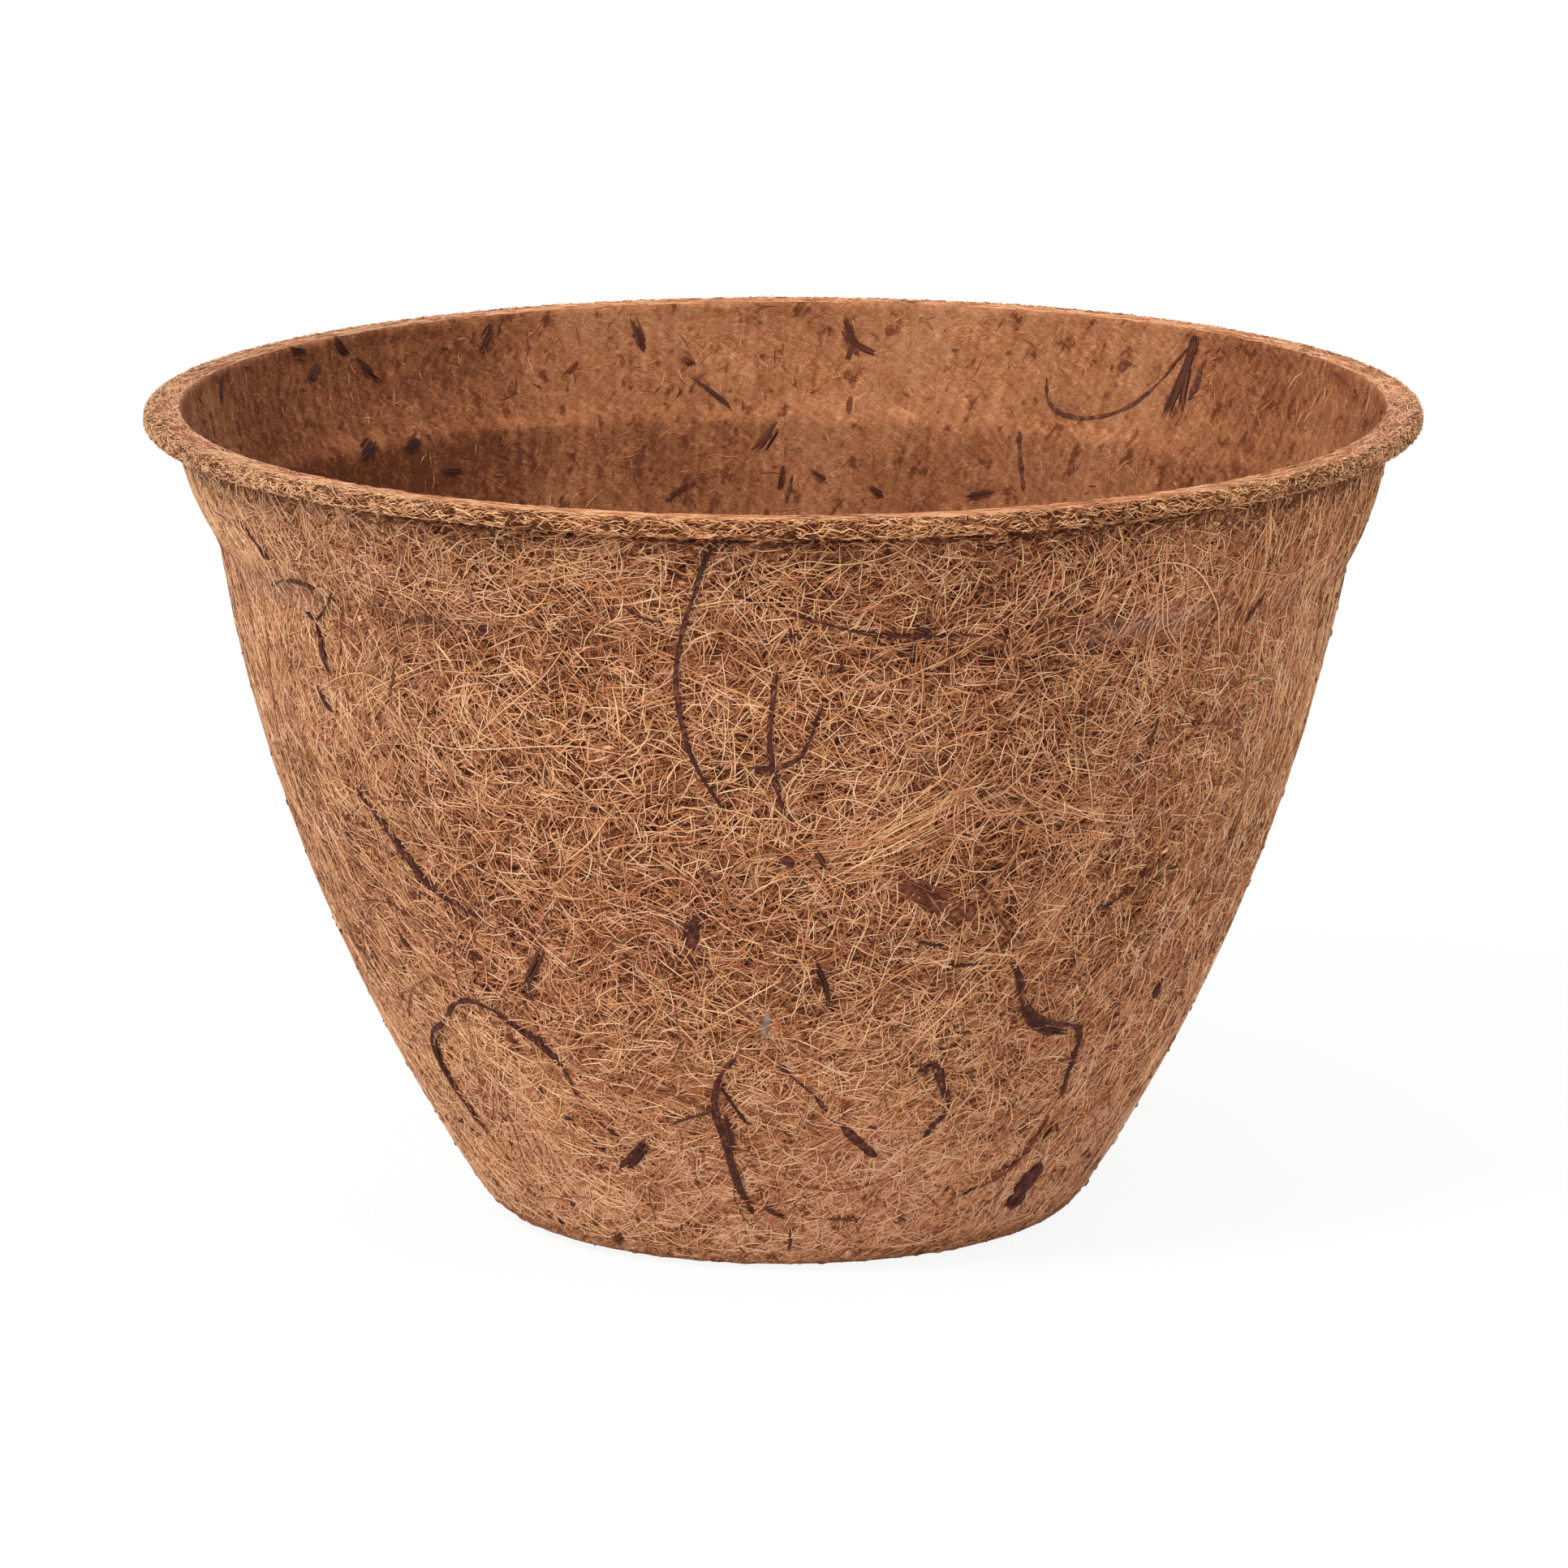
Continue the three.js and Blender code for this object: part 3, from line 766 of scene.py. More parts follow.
coir_fibre, tree, surface = new_finish("coir_fibre", roughness=0.6, shine=0.18)
own_tone = tree.nodes.new("ShaderNodeAttribute")
own_tone.attribute_name = "tone"
own_gold = tree.nodes.new("ShaderNodeAttribute")
own_gold.attribute_name = "gold"
spread = made_by(felt_marks, tree.nodes.new("ShaderNodeTexCoord").outputs["Object"])
patch = times(minus(spread["Patch"], 0.5), 0.42)
firm = times(minus(1.0, spread["Loose"]), 0.1)
shade = plus(plus(own_tone.outputs["Fac"], patch), firm)
golden = minus(1.0, times(spread["Rust"], 0.75))
golden = times(own_gold.outputs["Fac"], golden)
speckled = times(spread["Specks"], 0.5)
bloomed = times(spread["Bloom"], 0.18)
# A painted sheen on the left, on the brighter fibres only.
painted_sheen = times(times(spread["Sheen"], between(shade, 0.1, 0.5)), 0.3)
fibre_colour = tint(golden, ramp(shade, RED_TINTS), ramp(shade, GOLD_TINTS))
fibre_colour = tint(speckled, fibre_colour, FIBRE_SPECK_TINT)
fibre_colour = tint(bloomed, fibre_colour, FIBRE_BLOOM_TINT)
fibre_colour = tint(painted_sheen, fibre_colour, SHEEN_TINT)
join(fibre_colour, surface.inputs["Base Color"])


def towards(angle, middle, width):
    """A share that is 1 at an angle round the pot and falls away from it, in degrees."""
    away = np.degrees(np.abs((angle - math.radians(middle) + math.pi) % (2 * math.pi) - math.pi))
    return np.exp(-(away / width) ** 2)


def wall_lean(rng, angle, mark):
    """Headings on the wall: any way at the front and back, more upright at the sides."""
    loose = 0.65 + 1.1 * towards(angle, 0, 45) + 1.1 * towards(angle, 180, 45)
    swirl = 0.5 * np.sin(3 * angle + 40 * mark) + 0.4 * np.sin(5 * angle - 70 * mark + 1)
    return math.pi / 2 + swirl + rng.normal(0, 1, len(angle)) * loose


def wall_loft(angle, mark):
    """How loosely the fibres stand off the wall: most in the upper middle, least at the sides and foot."""
    low, high = skin_ends["outside"]
    up = (mark - low) / (high - low)
    face = np.maximum(towards(angle, 0, 55), towards(angle, 180, 55))
    at_crease = np.exp(-(((skin_at(mark)[1] - crease[1]) / 0.003) ** 2))
    return (0.34 + 0.66 * face * np.clip(1.6 * up - 0.1, 0, 1)) * (1 - 0.6 * at_crease * (1 - 0.5 * face))


wall_zone = (skin_ends["outside"][0], skin_ends["outside"][1] - UNDER_RIM_GAP)
for layer in range(WALL_LAYERS):
    rng = np.random.default_rng(100 + layer)
    rise = layer / (WALL_LAYERS - 1)
    runs = SHORT_RUNS if layer < SHORT_LAYERS else LONG_RUNS
    count, points = runs["count"], runs["points"]
    angles, marks = lay(rng, count, wall_zone, points, runs["length"], curl=120, lean=wall_lean, wander=0.16)
    angle, mark = angles[:, 1], marks[:, 1]
    height = skin_at(mark)[1]
    loft = wall_loft(angle, mark)
    low = rng.uniform(-0.0001, 0.00002, count)
    high = (rng.uniform(0.00005, 0.00024, count) + 0.00028 * rise) * loft
    lift = arch(points, low, high)

    # Lighter at the foot; painted shade on the lower layers, a painted shadow under the rim, and painted
    # shade in the crease, on the left and on the right of the collar.
    under_rim_shadow = np.exp((mark - wall_zone[1]) / 0.0012)
    foot = np.clip(1 - (mark - wall_zone[0]) / 0.06, 0, 1)
    leftward = np.clip(-np.sin(angle), 0, 1) ** 2
    rightward = np.clip(np.sin(angle), 0, 1) ** 2
    on_collar = np.clip((height - crease[1]) / 0.004, 0, 1)
    crease_shade = np.exp(-(((height - crease[1] + 0.0006) / 0.0012) ** 2))
    tones = 0.38 + 0.14 * rise + rng.normal(0, 0.33, count) * (1 - 0.3 * leftward)
    tones += 0.16 * foot - 0.7 * under_rim_shadow - 0.24 * crease_shade + 0.05 * (1 - loft)
    tones -= 0.24 * leftward * (1 - foot) * (1 - 0.6 * on_collar)
    tones -= (0.04 + 0.18 * on_collar) * rightward
    gold = rng.normal(0.46, 0.32, count) + 0.3 * np.sin(angle) ** 4 + 0.15 * leftward
    radii = tapered(points, rng.uniform(*runs["radius"], count))
    spin_fibres(f"wall_fibres_{layer + 1}", angles, marks, lift, radii, tones, np.clip(gold, 0, 1))


# Long fibres of the outer face
# Whole fibres that lie over the mat in wide arcs and loops: straw-coloured, golden or red,
# from fifteen to seventy millimetres long.
MIDDLE_FIBRES = 900
MIDDLE_POINTS = 12
MIDDLE_LENGTH = (0.014, 0.034)
LONG_FIBRES = 120
LONG_POINTS = 26
LONG_LENGTH = (0.03, 0.075)
TRACE_SMOOTHING = 8
# Fibres seen on the front of the photographed pot: tone, share of gold, and a path of
# degrees round the pot and millimetres of height.
FRONT_FIBRES = {
    "collar_loop": (0.3, 0.9, [(-20.5, 123), (-21, 118), (-22, 113), (-25, 109.5), (-28, 108.5), (-30, 110),
                               (-29, 114), (-26, 119), (-22, 122)]),
    "golden_sweep": (0.42, 1.0, [(-20.5, 109), (-21, 106), (-24, 100), (-29.5, 94), (-34, 88)]),
    "thin_left_bow": (0.0, 0.3, [(-41, 103), (-44, 101), (-46.5, 98), (-48, 91), (-48, 88)]),
    "pale_wave": (0.55, 0.6, [(-42, 88), (-36, 87), (-28, 89), (-21, 90.5), (-14, 88.5)]),
    "bright_gold": (0.5, 1.0, [(-17, 100), (-16.5, 97), (-16.5, 91)]),
    "golden_hook": (0.35, 1.0, [(-11, 123), (-11, 118), (-11.5, 112), (-13, 112.5)]),
    "pale_collar_bow": (0.55, 0.7, [(-3, 118), (2, 122), (4.5, 120.5), (9, 121.5), (11, 123)]),
    "red_fall": (0.02, 0.2, [(7.5, 106), (11, 98), (13.5, 91), (13.5, 82.5)]),
    "red_upright": (0.08, 0.2, [(13, 107), (13.5, 102), (13.5, 93)]),
    "brown_slope": (0.1, 0.5, [(-6.5, 107), (-1, 101.5), (1, 99)]),
    "gold_ripple": (0.42, 1.0, [(3.5, 81), (5, 83), (7, 83), (11, 80)]),
    "orange_bow": (0.25, 0.9, [(15, 99), (17, 100), (19.5, 99)]),
    "right_bow": (0.3, 0.8, [(24.5, 105), (26.5, 106.5), (29.5, 103)]),
    "right_low_bow": (0.25, 0.9, [(24.5, 86.5), (26, 85), (29.5, 86)]),
    "orange_ripple": (0.35, 1.0, [(-17, 66), (-13, 70), (-10, 70), (-8, 64), (-6.5, 61)]),
    "orange_slope": (0.35, 1.0, [(-18, 80), (-21, 74.5), (-25, 70)]),
    "orange_fall": (0.35, 1.0, [(-16, 49), (-11, 47), (-9, 45.5), (-8.5, 39)]),
    "pale_slope": (0.5, 0.7, [(0, 53), (-3.5, 50.5), (-8.5, 46)]),
    "red_lean": (0.08, 0.4, [(-16.5, 80), (-17.5, 72), (-17, 60), (-16.5, 54)]),
    "brown_right_bow": (0.0, 0.2, [(15, 68.5), (19.5, 66), (23, 65), (28.5, 57)]),
}


def traced(route, points, zone):
    """A smooth path over a zone of the skin through degrees and millimetres: its angles and marks."""
    route = np.array(route, float)
    travel = np.r_[0, np.cumsum(np.linalg.norm(np.diff(route, axis=0), axis=1))]
    path = np.stack([np.interp(np.linspace(0, travel[-1], points), travel, side) for side in route.T], 1)
    for _ in range(TRACE_SMOOTHING):
        path[1:-1] = (path[:-2] + 2 * path[1:-1] + path[2:]) / 4
    face = np.linspace(*skin_ends[zone], 2000)
    heights = skin_at(face)[1]
    order = np.argsort(heights)
    return np.radians(path[:, 0]), np.interp(path[:, 1] / 1000, heights[order], face[order])


off_ends = (wall_zone[0] + 0.006, wall_zone[1] - 0.003)
rng = np.random.default_rng(21)
count, points = MIDDLE_FIBRES, MIDDLE_POINTS
angles, marks = lay(rng, count, off_ends, points, MIDDLE_LENGTH, curl=70, lean=wall_lean, wander=0.12)
loft = wall_loft(angles[:, points // 2], marks[:, points // 2])
lift = arch(points, -0.0002, rng.uniform(0.0002, 0.0006, count) * loft)
tones = rng.normal(0.16, 0.2, count)
gold = rng.random(count)
radii = tapered(points, rng.uniform(0.00008, 0.00011, count))
spin_fibres("middle_fibres", angles, marks, lift, radii, tones, gold)

rng = np.random.default_rng(22)
count, points = LONG_FIBRES, LONG_POINTS
angles, marks = lay(rng, count, off_ends, points, LONG_LENGTH, curl=45, lean=wall_lean, wander=0.1)
loft = wall_loft(angles[:, points // 2], marks[:, points // 2])
lift = arch(points, -0.00015, rng.uniform(0.0004, 0.0008, count) * loft)
tones = np.where(rng.random(count) < 0.6, -0.08, 0.2) + rng.normal(0, 0.08, count)
gold = rng.random(count) ** 0.5
radii = tapered(points, rng.uniform(0.00009, 0.00014, count))
spin_fibres("long_fibres", angles, marks, lift, radii, tones, gold)

rng = np.random.default_rng(24)
count = len(FRONT_FIBRES)
tones, gold, routes = zip(*FRONT_FIBRES.values())
paths = [traced(route, points, "outside") for route in routes]
angles, marks = (np.array(side) for side in zip(*paths))
lift = arch(points, -0.0001, 0.00062)
radii = tapered(points, rng.uniform(0.0001, 0.00013, count))
spin_fibres("front_fibres", angles, marks, lift, radii, np.array(tones), np.array(gold))


# Tufts of the outer face
# Locks of fibre that stayed together when the husk was combed, so that they still lie side by
# side in a sweep over the mat.
TUFTS = 40
TUFT_FIBRES = 26
TUFT_POINTS = 9
TUFT_LENGTH = (0.016, 0.034)
TUFT_WIDTH = 0.0022
TUFT_WANDER = 0.0002
# Locks seen on the front of the photographed pot, as degrees and millimetres of height.
FRONT_LOCKS = {
    "pale_lock": [(22.5, 84), (14, 78), (5, 71.5), (1.5, 68.5)],
    "collar_lock": [(-24, 119.5), (-20, 120), (-14, 123)],
}
LOCK_TONE = 0.42
LOCK_GOLD = 2.0

rng = np.random.default_rng(25)
count, points = TUFTS * TUFT_FIBRES, TUFT_POINTS
sweeps, runs = lay(rng, TUFTS, off_ends, points, TUFT_LENGTH, curl=45, lean=wall_lean, wander=0.08)
for lock, route in enumerate(FRONT_LOCKS.values()):
    sweeps[lock], runs[lock] = traced(route, points, "outside")
beside = rng.normal(0, TUFT_WIDTH, (2, TUFTS, TUFT_FIBRES, 1))
beside = beside + rng.normal(0, TUFT_WANDER, (2, TUFTS, TUFT_FIBRES, points))
fanned = rng.normal(0, TUFT_WIDTH, (2, TUFTS, TUFT_FIBRES, 1)) * np.linspace(-1, 1, points)
round_pot, along_skin = beside + fanned
angles = (sweeps[:, None] + round_pot / skin_at(runs)[0][:, None]).reshape(count, points)
marks = (runs[:, None] + along_skin).reshape(count, points)
marks = np.clip(marks, *skin_ends["outside"])
loft = wall_loft(angles[:, points // 2], marks[:, points // 2])
lift = arch(points, -0.00015, rng.uniform(0.0001, 0.0005, count) * loft)
tuft_tones = rng.uniform(0.08, 0.34, TUFTS)
tuft_gold = rng.uniform(0.1, 0.8, TUFTS)
tuft_tones[:len(FRONT_LOCKS)] = LOCK_TONE
tuft_gold[:len(FRONT_LOCKS)] = LOCK_GOLD
tones = np.repeat(tuft_tones, TUFT_FIBRES) + rng.normal(0, 0.28, count)
gold = np.repeat(tuft_gold, TUFT_FIBRES)
radii = tapered(points, rng.uniform(0.00007, 0.00011, count))
spin_fibres("fibre_tufts", angles, marks, lift, radii, tones, gold)


# Husk crumbs
# Short bits of coarse dark husk, from one to four millimetres long, pressed into both faces,
# and crushed crumbs that show as small dark spots, most of them low on the wall.
CRUMBS = {"outside": {"count": 1800, "proud": 0.0004}, "inside": {"count": 420, "proud": 0.0001}}
CRUMB_POINTS = 4
CRUMB_LENGTH = (0.0008, 0.0034)
SPOTS = 240
SPOT_FIBRES = 6
SPOT_POINTS = 3
SPOT_LENGTH = (0.0008, 0.0026)
SPOT_SPREAD = (0.00012, 0.0004)
SPOTS_UP_TO = 0.075
HUSK_GOLD = 0.1

for seed, (zone, crumbs) in enumerate(CRUMBS.items()):
    rng = np.random.default_rng(50 + seed)
    count, points = crumbs["count"], CRUMB_POINTS
    face = skin_ends[zone]
    angles, marks = lay(rng, count, face, points, CRUMB_LENGTH, curl=120, lean=wall_lean, wander=0.25)
    lift = arch(points, -0.0002, rng.uniform(0.0, crumbs["proud"], count))
    tones = rng.normal(-0.12, 0.14, count)
    gold = rng.random(count) * 0.3
    radii = tapered(points, rng.uniform(0.0001, 0.00028, count) * rng.uniform(0.5, 1, count))
    spin_fibres(f"{zone}_crumbs", angles, marks, lift, radii, tones, gold)

rng = np.random.default_rng(55)
low_zone = (wall_zone[0], wall_zone[0] + SPOTS_UP_TO)
count, points = SPOTS * SPOT_FIBRES, SPOT_POINTS
spot_angles, spot_marks = lay(rng, SPOTS, low_zone, points, SPOT_LENGTH, curl=60, lean=wall_lean)
beside = rng.normal(0, 1, (2, SPOTS, SPOT_FIBRES, 1)) * rng.uniform(*SPOT_SPREAD, (1, SPOTS, 1, 1))
angles = (spot_angles[:, None] + beside[0] / skin_at(spot_marks)[0][:, None]).reshape(count, points)
marks = np.clip((spot_marks[:, None] + beside[1]).reshape(count, points), *low_zone)
lift = arch(points, -0.0001, rng.uniform(0.0, 0.0003, count))
tones = np.repeat(rng.normal(-0.04, 0.07, SPOTS), SPOT_FIBRES)
radii = tapered(points, rng.uniform(0.00012, 0.0002, count))
spin_fibres("outside_spots", angles, marks, lift, radii, tones, HUSK_GOLD, even=True)


# Fibres of the rim
# The trimmed edge of the mat: fibres run round the rim, pressed smooth on its top and toned lighter there,
# partly as painted light from above, while the cut edge is left open, with tufts, dark gaps of painted
# shade and ends that stand out.
RIM_TOP = {"count": 2600, "points": 4, "length": (0.004, 0.01), "curl": 30, "wander": 0.08,
           "ends": (-0.00016, -0.00008), "middle": (-0.00004, 0.00006),
           "tone": (0.57, 0.22), "gold": (0.3, 0.25), "radius": (0.00006, 0.0001)}
RIM_EDGE = {"count": 10500, "points": 3, "length": (0.0009, 0.0027), "curl": 90, "wander": 0.2,
            "ends": (-0.0001, 0.00002), "middle": (-0.00005, 0.0002),
            "tone": (0.42, 0.34), "gold": (0.9, 0.2), "radius": (0.00006, 0.0001)}
RIM_BRISTLES = 1500
BRISTLE_POINTS = 5
BRISTLE_LENGTH = (0.002, 0.0055)
BRISTLE_ROOT = 0.0002


def round_lean(rng, angle, mark):
    """Headings on the rim: mostly round the pot, either way."""
    return rng.choice((0, math.pi), len(angle)) + rng.normal(0, 0.3, len(angle))


def edge_lean(rng, angle, mark):
    """Headings on the cut edge: round the pot, but with many ends that point up or down."""
    return rng.choice((0, math.pi), len(angle)) + rng.normal(0, 0.55, len(angle))


def press_fibres(name, seed, zone, lean, fibres):
    """One piece of fibres strewn over a zone of the skin and pressed down on it."""
    rng = np.random.default_rng(seed)
    count, points = fibres["count"], fibres["points"]
    angles, marks = lay(rng, count, zone, points, fibres["length"], fibres["curl"], lean, fibres["wander"])
    ends = rng.uniform(*fibres["ends"], count)
    lift = arch(points, ends, rng.uniform(*fibres["middle"], count))
    tones = rng.normal(*fibres["tone"], count)
    gold = np.clip(rng.normal(*fibres["gold"], count), 0, 1)
    radii = tapered(points, rng.uniform(*fibres["radius"], count))
    spin_fibres(name, angles, marks, lift, radii, tones, gold)


top_zone = (skin_ends["rim_top"][0] + 0.0002, skin_ends["rim_top"][1] - 1.5 * MOUTH_ROUND)
edge_zone = (skin_ends["rim_edge"][0] + 0.0001, skin_ends["rim_edge"][1] + 0.0003)
press_fibres("rim_top_fibres", 31, top_zone, round_lean, RIM_TOP)
press_fibres("rim_edge_fibres", 32, edge_zone, edge_lean, RIM_EDGE)

rng = np.random.default_rng(33)
count, points = RIM_BRISTLES, BRISTLE_POINTS
edge = skin_ends["rim_edge"]
angles, marks = lay(rng, count, edge, points, BRISTLE_LENGTH, curl=80, lean=round_lean, wander=0.2)
tip = rng.uniform(0.0, 0.0004, count)
lift = -BRISTLE_ROOT + (tip + BRISTLE_ROOT)[:, None] * np.linspace(0, 1, points) ** 1.3
tones = rng.normal(0.25, 0.22, count)
gold = np.clip(rng.normal(0.75, 0.25, count), 0, 1)
radii = rng.uniform(0.00006, 0.00009, count)[:, None] * np.linspace(1, 0.45, points)
spin_fibres("rim_bristles", angles, marks, lift, radii, tones, gold)


# Fibres of the inner face
# The mould's plug pressed this side smoother: the same fibres lie flat in the latex, darker
# and redder, and mostly drawn up the wall.
INNER_LAYERS = 2
INNER_FIBRES = 5000
INNER_POINTS = 3
INNER_LENGTH = (0.0024, 0.0064)


def inner_lean(rng, angle, mark):
    """Headings on the inner face: drawn up the wall, with a wide spread."""
    swirl = 0.4 * np.sin(4 * angle + 50 * mark) + 0.3 * np.sin(7 * angle - 30 * mark)
    return math.pi / 2 + swirl + rng.normal(0, 0.8, len(angle))


for layer in range(INNER_LAYERS):
    rng = np.random.default_rng(200 + layer)
    count, points = INNER_FIBRES, INNER_POINTS
    angles, marks = lay(rng, count, skin_ends["inside"], points, INNER_LENGTH, curl=100, lean=inner_lean)
    low = rng.uniform(-0.0002, -0.0001, count)
    height = skin_at(marks)[1]
    at_step = np.exp(-(((height - step_edge[1]) / 0.0018) ** 2))
    lift = arch(points, low, rng.uniform(-0.00008, 0.00007, count)) - 0.0002 * at_step
    # Painted shadow on the upper left of the inner wall, and painted shade on the fibres along the step's
    # ledge.
    leftward = np.clip(-np.sin(angles[:, 1]), 0, 1) * np.clip(height[:, 1] / 0.045 - 1.2, 0, 1)
    tones = rng.normal(0.36, 0.2, count) - 0.15 * at_step[:, 1] - 0.14 * leftward
    gold = np.clip(rng.normal(0.25, 0.25, count), 0, 1)
    radii = tapered(points, rng.uniform(0.00007, 0.00013, count))
    spin_fibres(f"inner_fibres_{layer + 1}", angles, marks, lift, radii, tones, gold)


# Fibres of the floor and the underside
# The base of the mat, pressed flat on both faces, with its fibres lying every way.
FLAT = {"count": 2000, "points": 3, "length": (0.003, 0.008), "curl": 110, "wander": 0.1,
        "ends": (-0.0002, -0.0001), "middle": (-0.00006, 0.0001),
        "tone": (0.38, 0.18), "gold": (0.45, 0.3), "radius": (0.00007, 0.00012)}


def any_lean(rng, angle, mark):
    """Headings with no preference."""
    return rng.uniform(-math.pi, math.pi, len(angle))


for seed, zone in ((41, "floor"), (42, "underside")):
    press_fibres(f"{zone}_fibres", seed, skin_ends[zone], any_lean, FLAT)


# Husk strands and flakes
# Coarse strips, twigs and flakes of coconut husk that came in with the fibre: knotty, nearly
# black, red or grey, pressed into the felt and bound there by the latex.
OUTER_SQUASH = 0.7
INNER_SQUASH = 0.35
THIN_STRANDS = ("right_twig", "right_sliver", "left_sliver", "side_twig", "short_dark_strand")
PRESSED_STRANDS = ("shoulder_strand", "pressed_strand", "forked_strand")
# How deep each sort of husk sits in the felt, and whether the mat covers parts of it.
BEDS = {
    "strand": {"sink": -0.00012, "covered": True},
    "pressed": {"sink": -0.00016, "covered": True},
    "grey_twig": {"sink": 0.0001, "covered": True},
    "hanging": {"sink": -0.0003, "covered": False},
    "thin": {"sink": -0.0003, "covered": False},
    "dark_flake": {"sink": 0.0, "covered": False},
    "red_flake": {"sink": 0.00008, "covered": False},
    "inner": {"sink": 0.00008, "covered": False},
}
BEDDING = 0.0011
BEDDING_SCALE = 190
BEDDED_SHARE = 0.2
# How much slimmer the knotty pieces are than the CAD ones, and the scales and sizes of their knots.
USUAL_THINNING = 0.00015
THINNING = {"two_lobed_flake": 0.0, "hanging_strand": 0.00042,
            "middle_strand": 0.00026, "bent_strand": 0.00026}
KNOTS = ((1400, 0.0002), (330, 0.0003))
# Widths of a lobed flake from its lower to its upper end: the share of its length, and how much wider.
LOBES = {"two_lobed_flake": ((0, 0.1, 0.27, 0.36, 0.5, 0.8, 1), (0.8, 1.5, 1.7, 1.0, 2.0, 2.1, 1.0))}
SEAT_POINTS = 5000
CROSSING_FIBRES = 1300
CROSSING_POINTS = 5
HUSK_TINTS = {
    "dark_husk": ((0.020, 0.005, 0.004), (0.050, 0.014, 0.010), (0.16, 0.055, 0.030)),
    "red_husk": ((0.04, 0.010, 0.006), (0.10, 0.030, 0.016), (0.22, 0.085, 0.045)),
    "grey_husk": ((0.075, 0.05, 0.04), (0.17, 0.115, 0.09), (0.29, 0.20, 0.16)),
    "latexed_husk": ((0.04, 0.013, 0.010), (0.085, 0.028, 0.018), (0.22, 0.085, 0.045)),
}

husk_finishes = {}
for finish, (deep, middle, worn) in HUSK_TINTS.items():
    husk_finishes[finish], tree, surface = new_finish(finish, roughness=0.75, shine=0.08)
    body_place = tree.nodes.new("ShaderNodeTexCoord").outputs["Object"]
    grain = cloud(body_place, scale=1100, detail=5, roughness=0.65)
    husk_colour = ramp(grain, ((0.32, deep), (0.5, middle), (0.72, worn)))
    join(husk_colour, surface.inputs["Base Color"])
    emboss(surface, grain)

# The faces that the CAD husk sits on, and where each point of them lies along the visual skin.
seats = {}
for zone, face in (("outside", outside), ("inside", inset(outside, FELT))):
    travel = np.r_[0, np.cumsum(np.linalg.norm(np.diff(face, axis=0), axis=1))]
    stops = np.linspace(0, travel[-1], SEAT_POINTS)
    seat = np.stack([np.interp(stops, travel, side) for side in face.T], 1)
    along = np.gradient(seat, axis=0)
    along /= np.linalg.norm(along, axis=1)[:, None] * (1 if zone == "outside" else -1)
    marks = np.linspace(*skin_ends[zone], SEAT_POINTS)
    heights = skin_at(marks)[1]
    order = np.argsort(heights)
    seats[zone] = seat, along[:, 1], -along[:, 0], np.interp(seat[:, 1], heights[order], marks[order])


def bed_of(node, finish):
    """The sort of bed that a piece of husk has in the felt."""
    if node.startswith("inner"):
        return "inner"
    if node in PRESSED_STRANDS:
        return "pressed"
    if node in THIN_STRANDS:
        return "thin"
    if node == "hanging_strand":
        return "hanging"
    if node == "grey_twig":
        return "grey_twig"
    if node.endswith("flake"):
        return "red_flake" if finish == "red_husk" else "dark_flake"
    return "strand"


covered_places = []
for subpart in frame["record"]["subparts"]:
    node, finish = subpart["node"], subpart["material_slot"]
    if finish not in husk_finishes:
        continue
    husk_shape = bmesh.new()
    husk_shape.from_mesh(frame["nodes"][node].data)
    bmesh.ops.remove_doubles(husk_shape, verts=husk_shape.verts, dist=1e-6)
    bmesh.ops.subdivide_edges(husk_shape, edges=husk_shape.edges, cuts=2, smooth=0.6, use_grid_fill=True)
    husk_shape.normal_update()
    bed = BEDS[bed_of(node, finish)]
    inner = node.startswith("inner")
    squash = INNER_SQUASH if inner else OUTER_SQUASH
    seat, seat_out, seat_up, seat_marks = seats["inside" if inner else "outside"]
    places = []
    for vert in husk_shape.verts:
        knot = sum(noise.noise(vert.co * scale) * size for scale, size in KNOTS)
        knotty = vert.co + vert.normal * (knot - THINNING.get(node, USUAL_THINNING))
        radius = math.hypot(knotty.x, knotty.y)
        nearest = np.argmin((seat[:, 0] - radius) ** 2 + (seat[:, 1] - knotty.z) ** 2)
        off_seat = radius - seat[nearest, 0], knotty.z - seat[nearest, 1]
        lift = off_seat[0] * seat_out[nearest] + off_seat[1] * seat_up[nearest]
        angle = math.atan2(knotty.x, -knotty.y)
        sink = bed["sink"]
        if bed["covered"]:
            sink += BEDDING * max(0, noise.noise(vert.co * BEDDING_SCALE) - BEDDED_SHARE)
            covered_places.append((angle, seat_marks[nearest]))
        places.append((angle, seat_marks[nearest], lift * squash - sink))
    places = np.array(places)
    if node in LOBES:
        length_share = (places[:, 1] - places[:, 1].min()) / np.ptp(places[:, 1])
        middle = np.polyval(np.polyfit(places[:, 1], places[:, 0], 1), places[:, 1])
        places[:, 0] = middle + (places[:, 0] - middle) * np.interp(length_share, *LOBES[node])
    for vert, place in zip(husk_shape.verts, places):
        vert.co = on_skin(*place)
    husk_mesh = bpy.data.meshes.new(node)
    husk_shape.to_mesh(husk_mesh)
    husk_shape.free()
    husk_mesh.shade_smooth()
    link_piece(f"{node}_husk", husk_mesh, husk_finishes["latexed_husk" if inner else finish], finish, node)

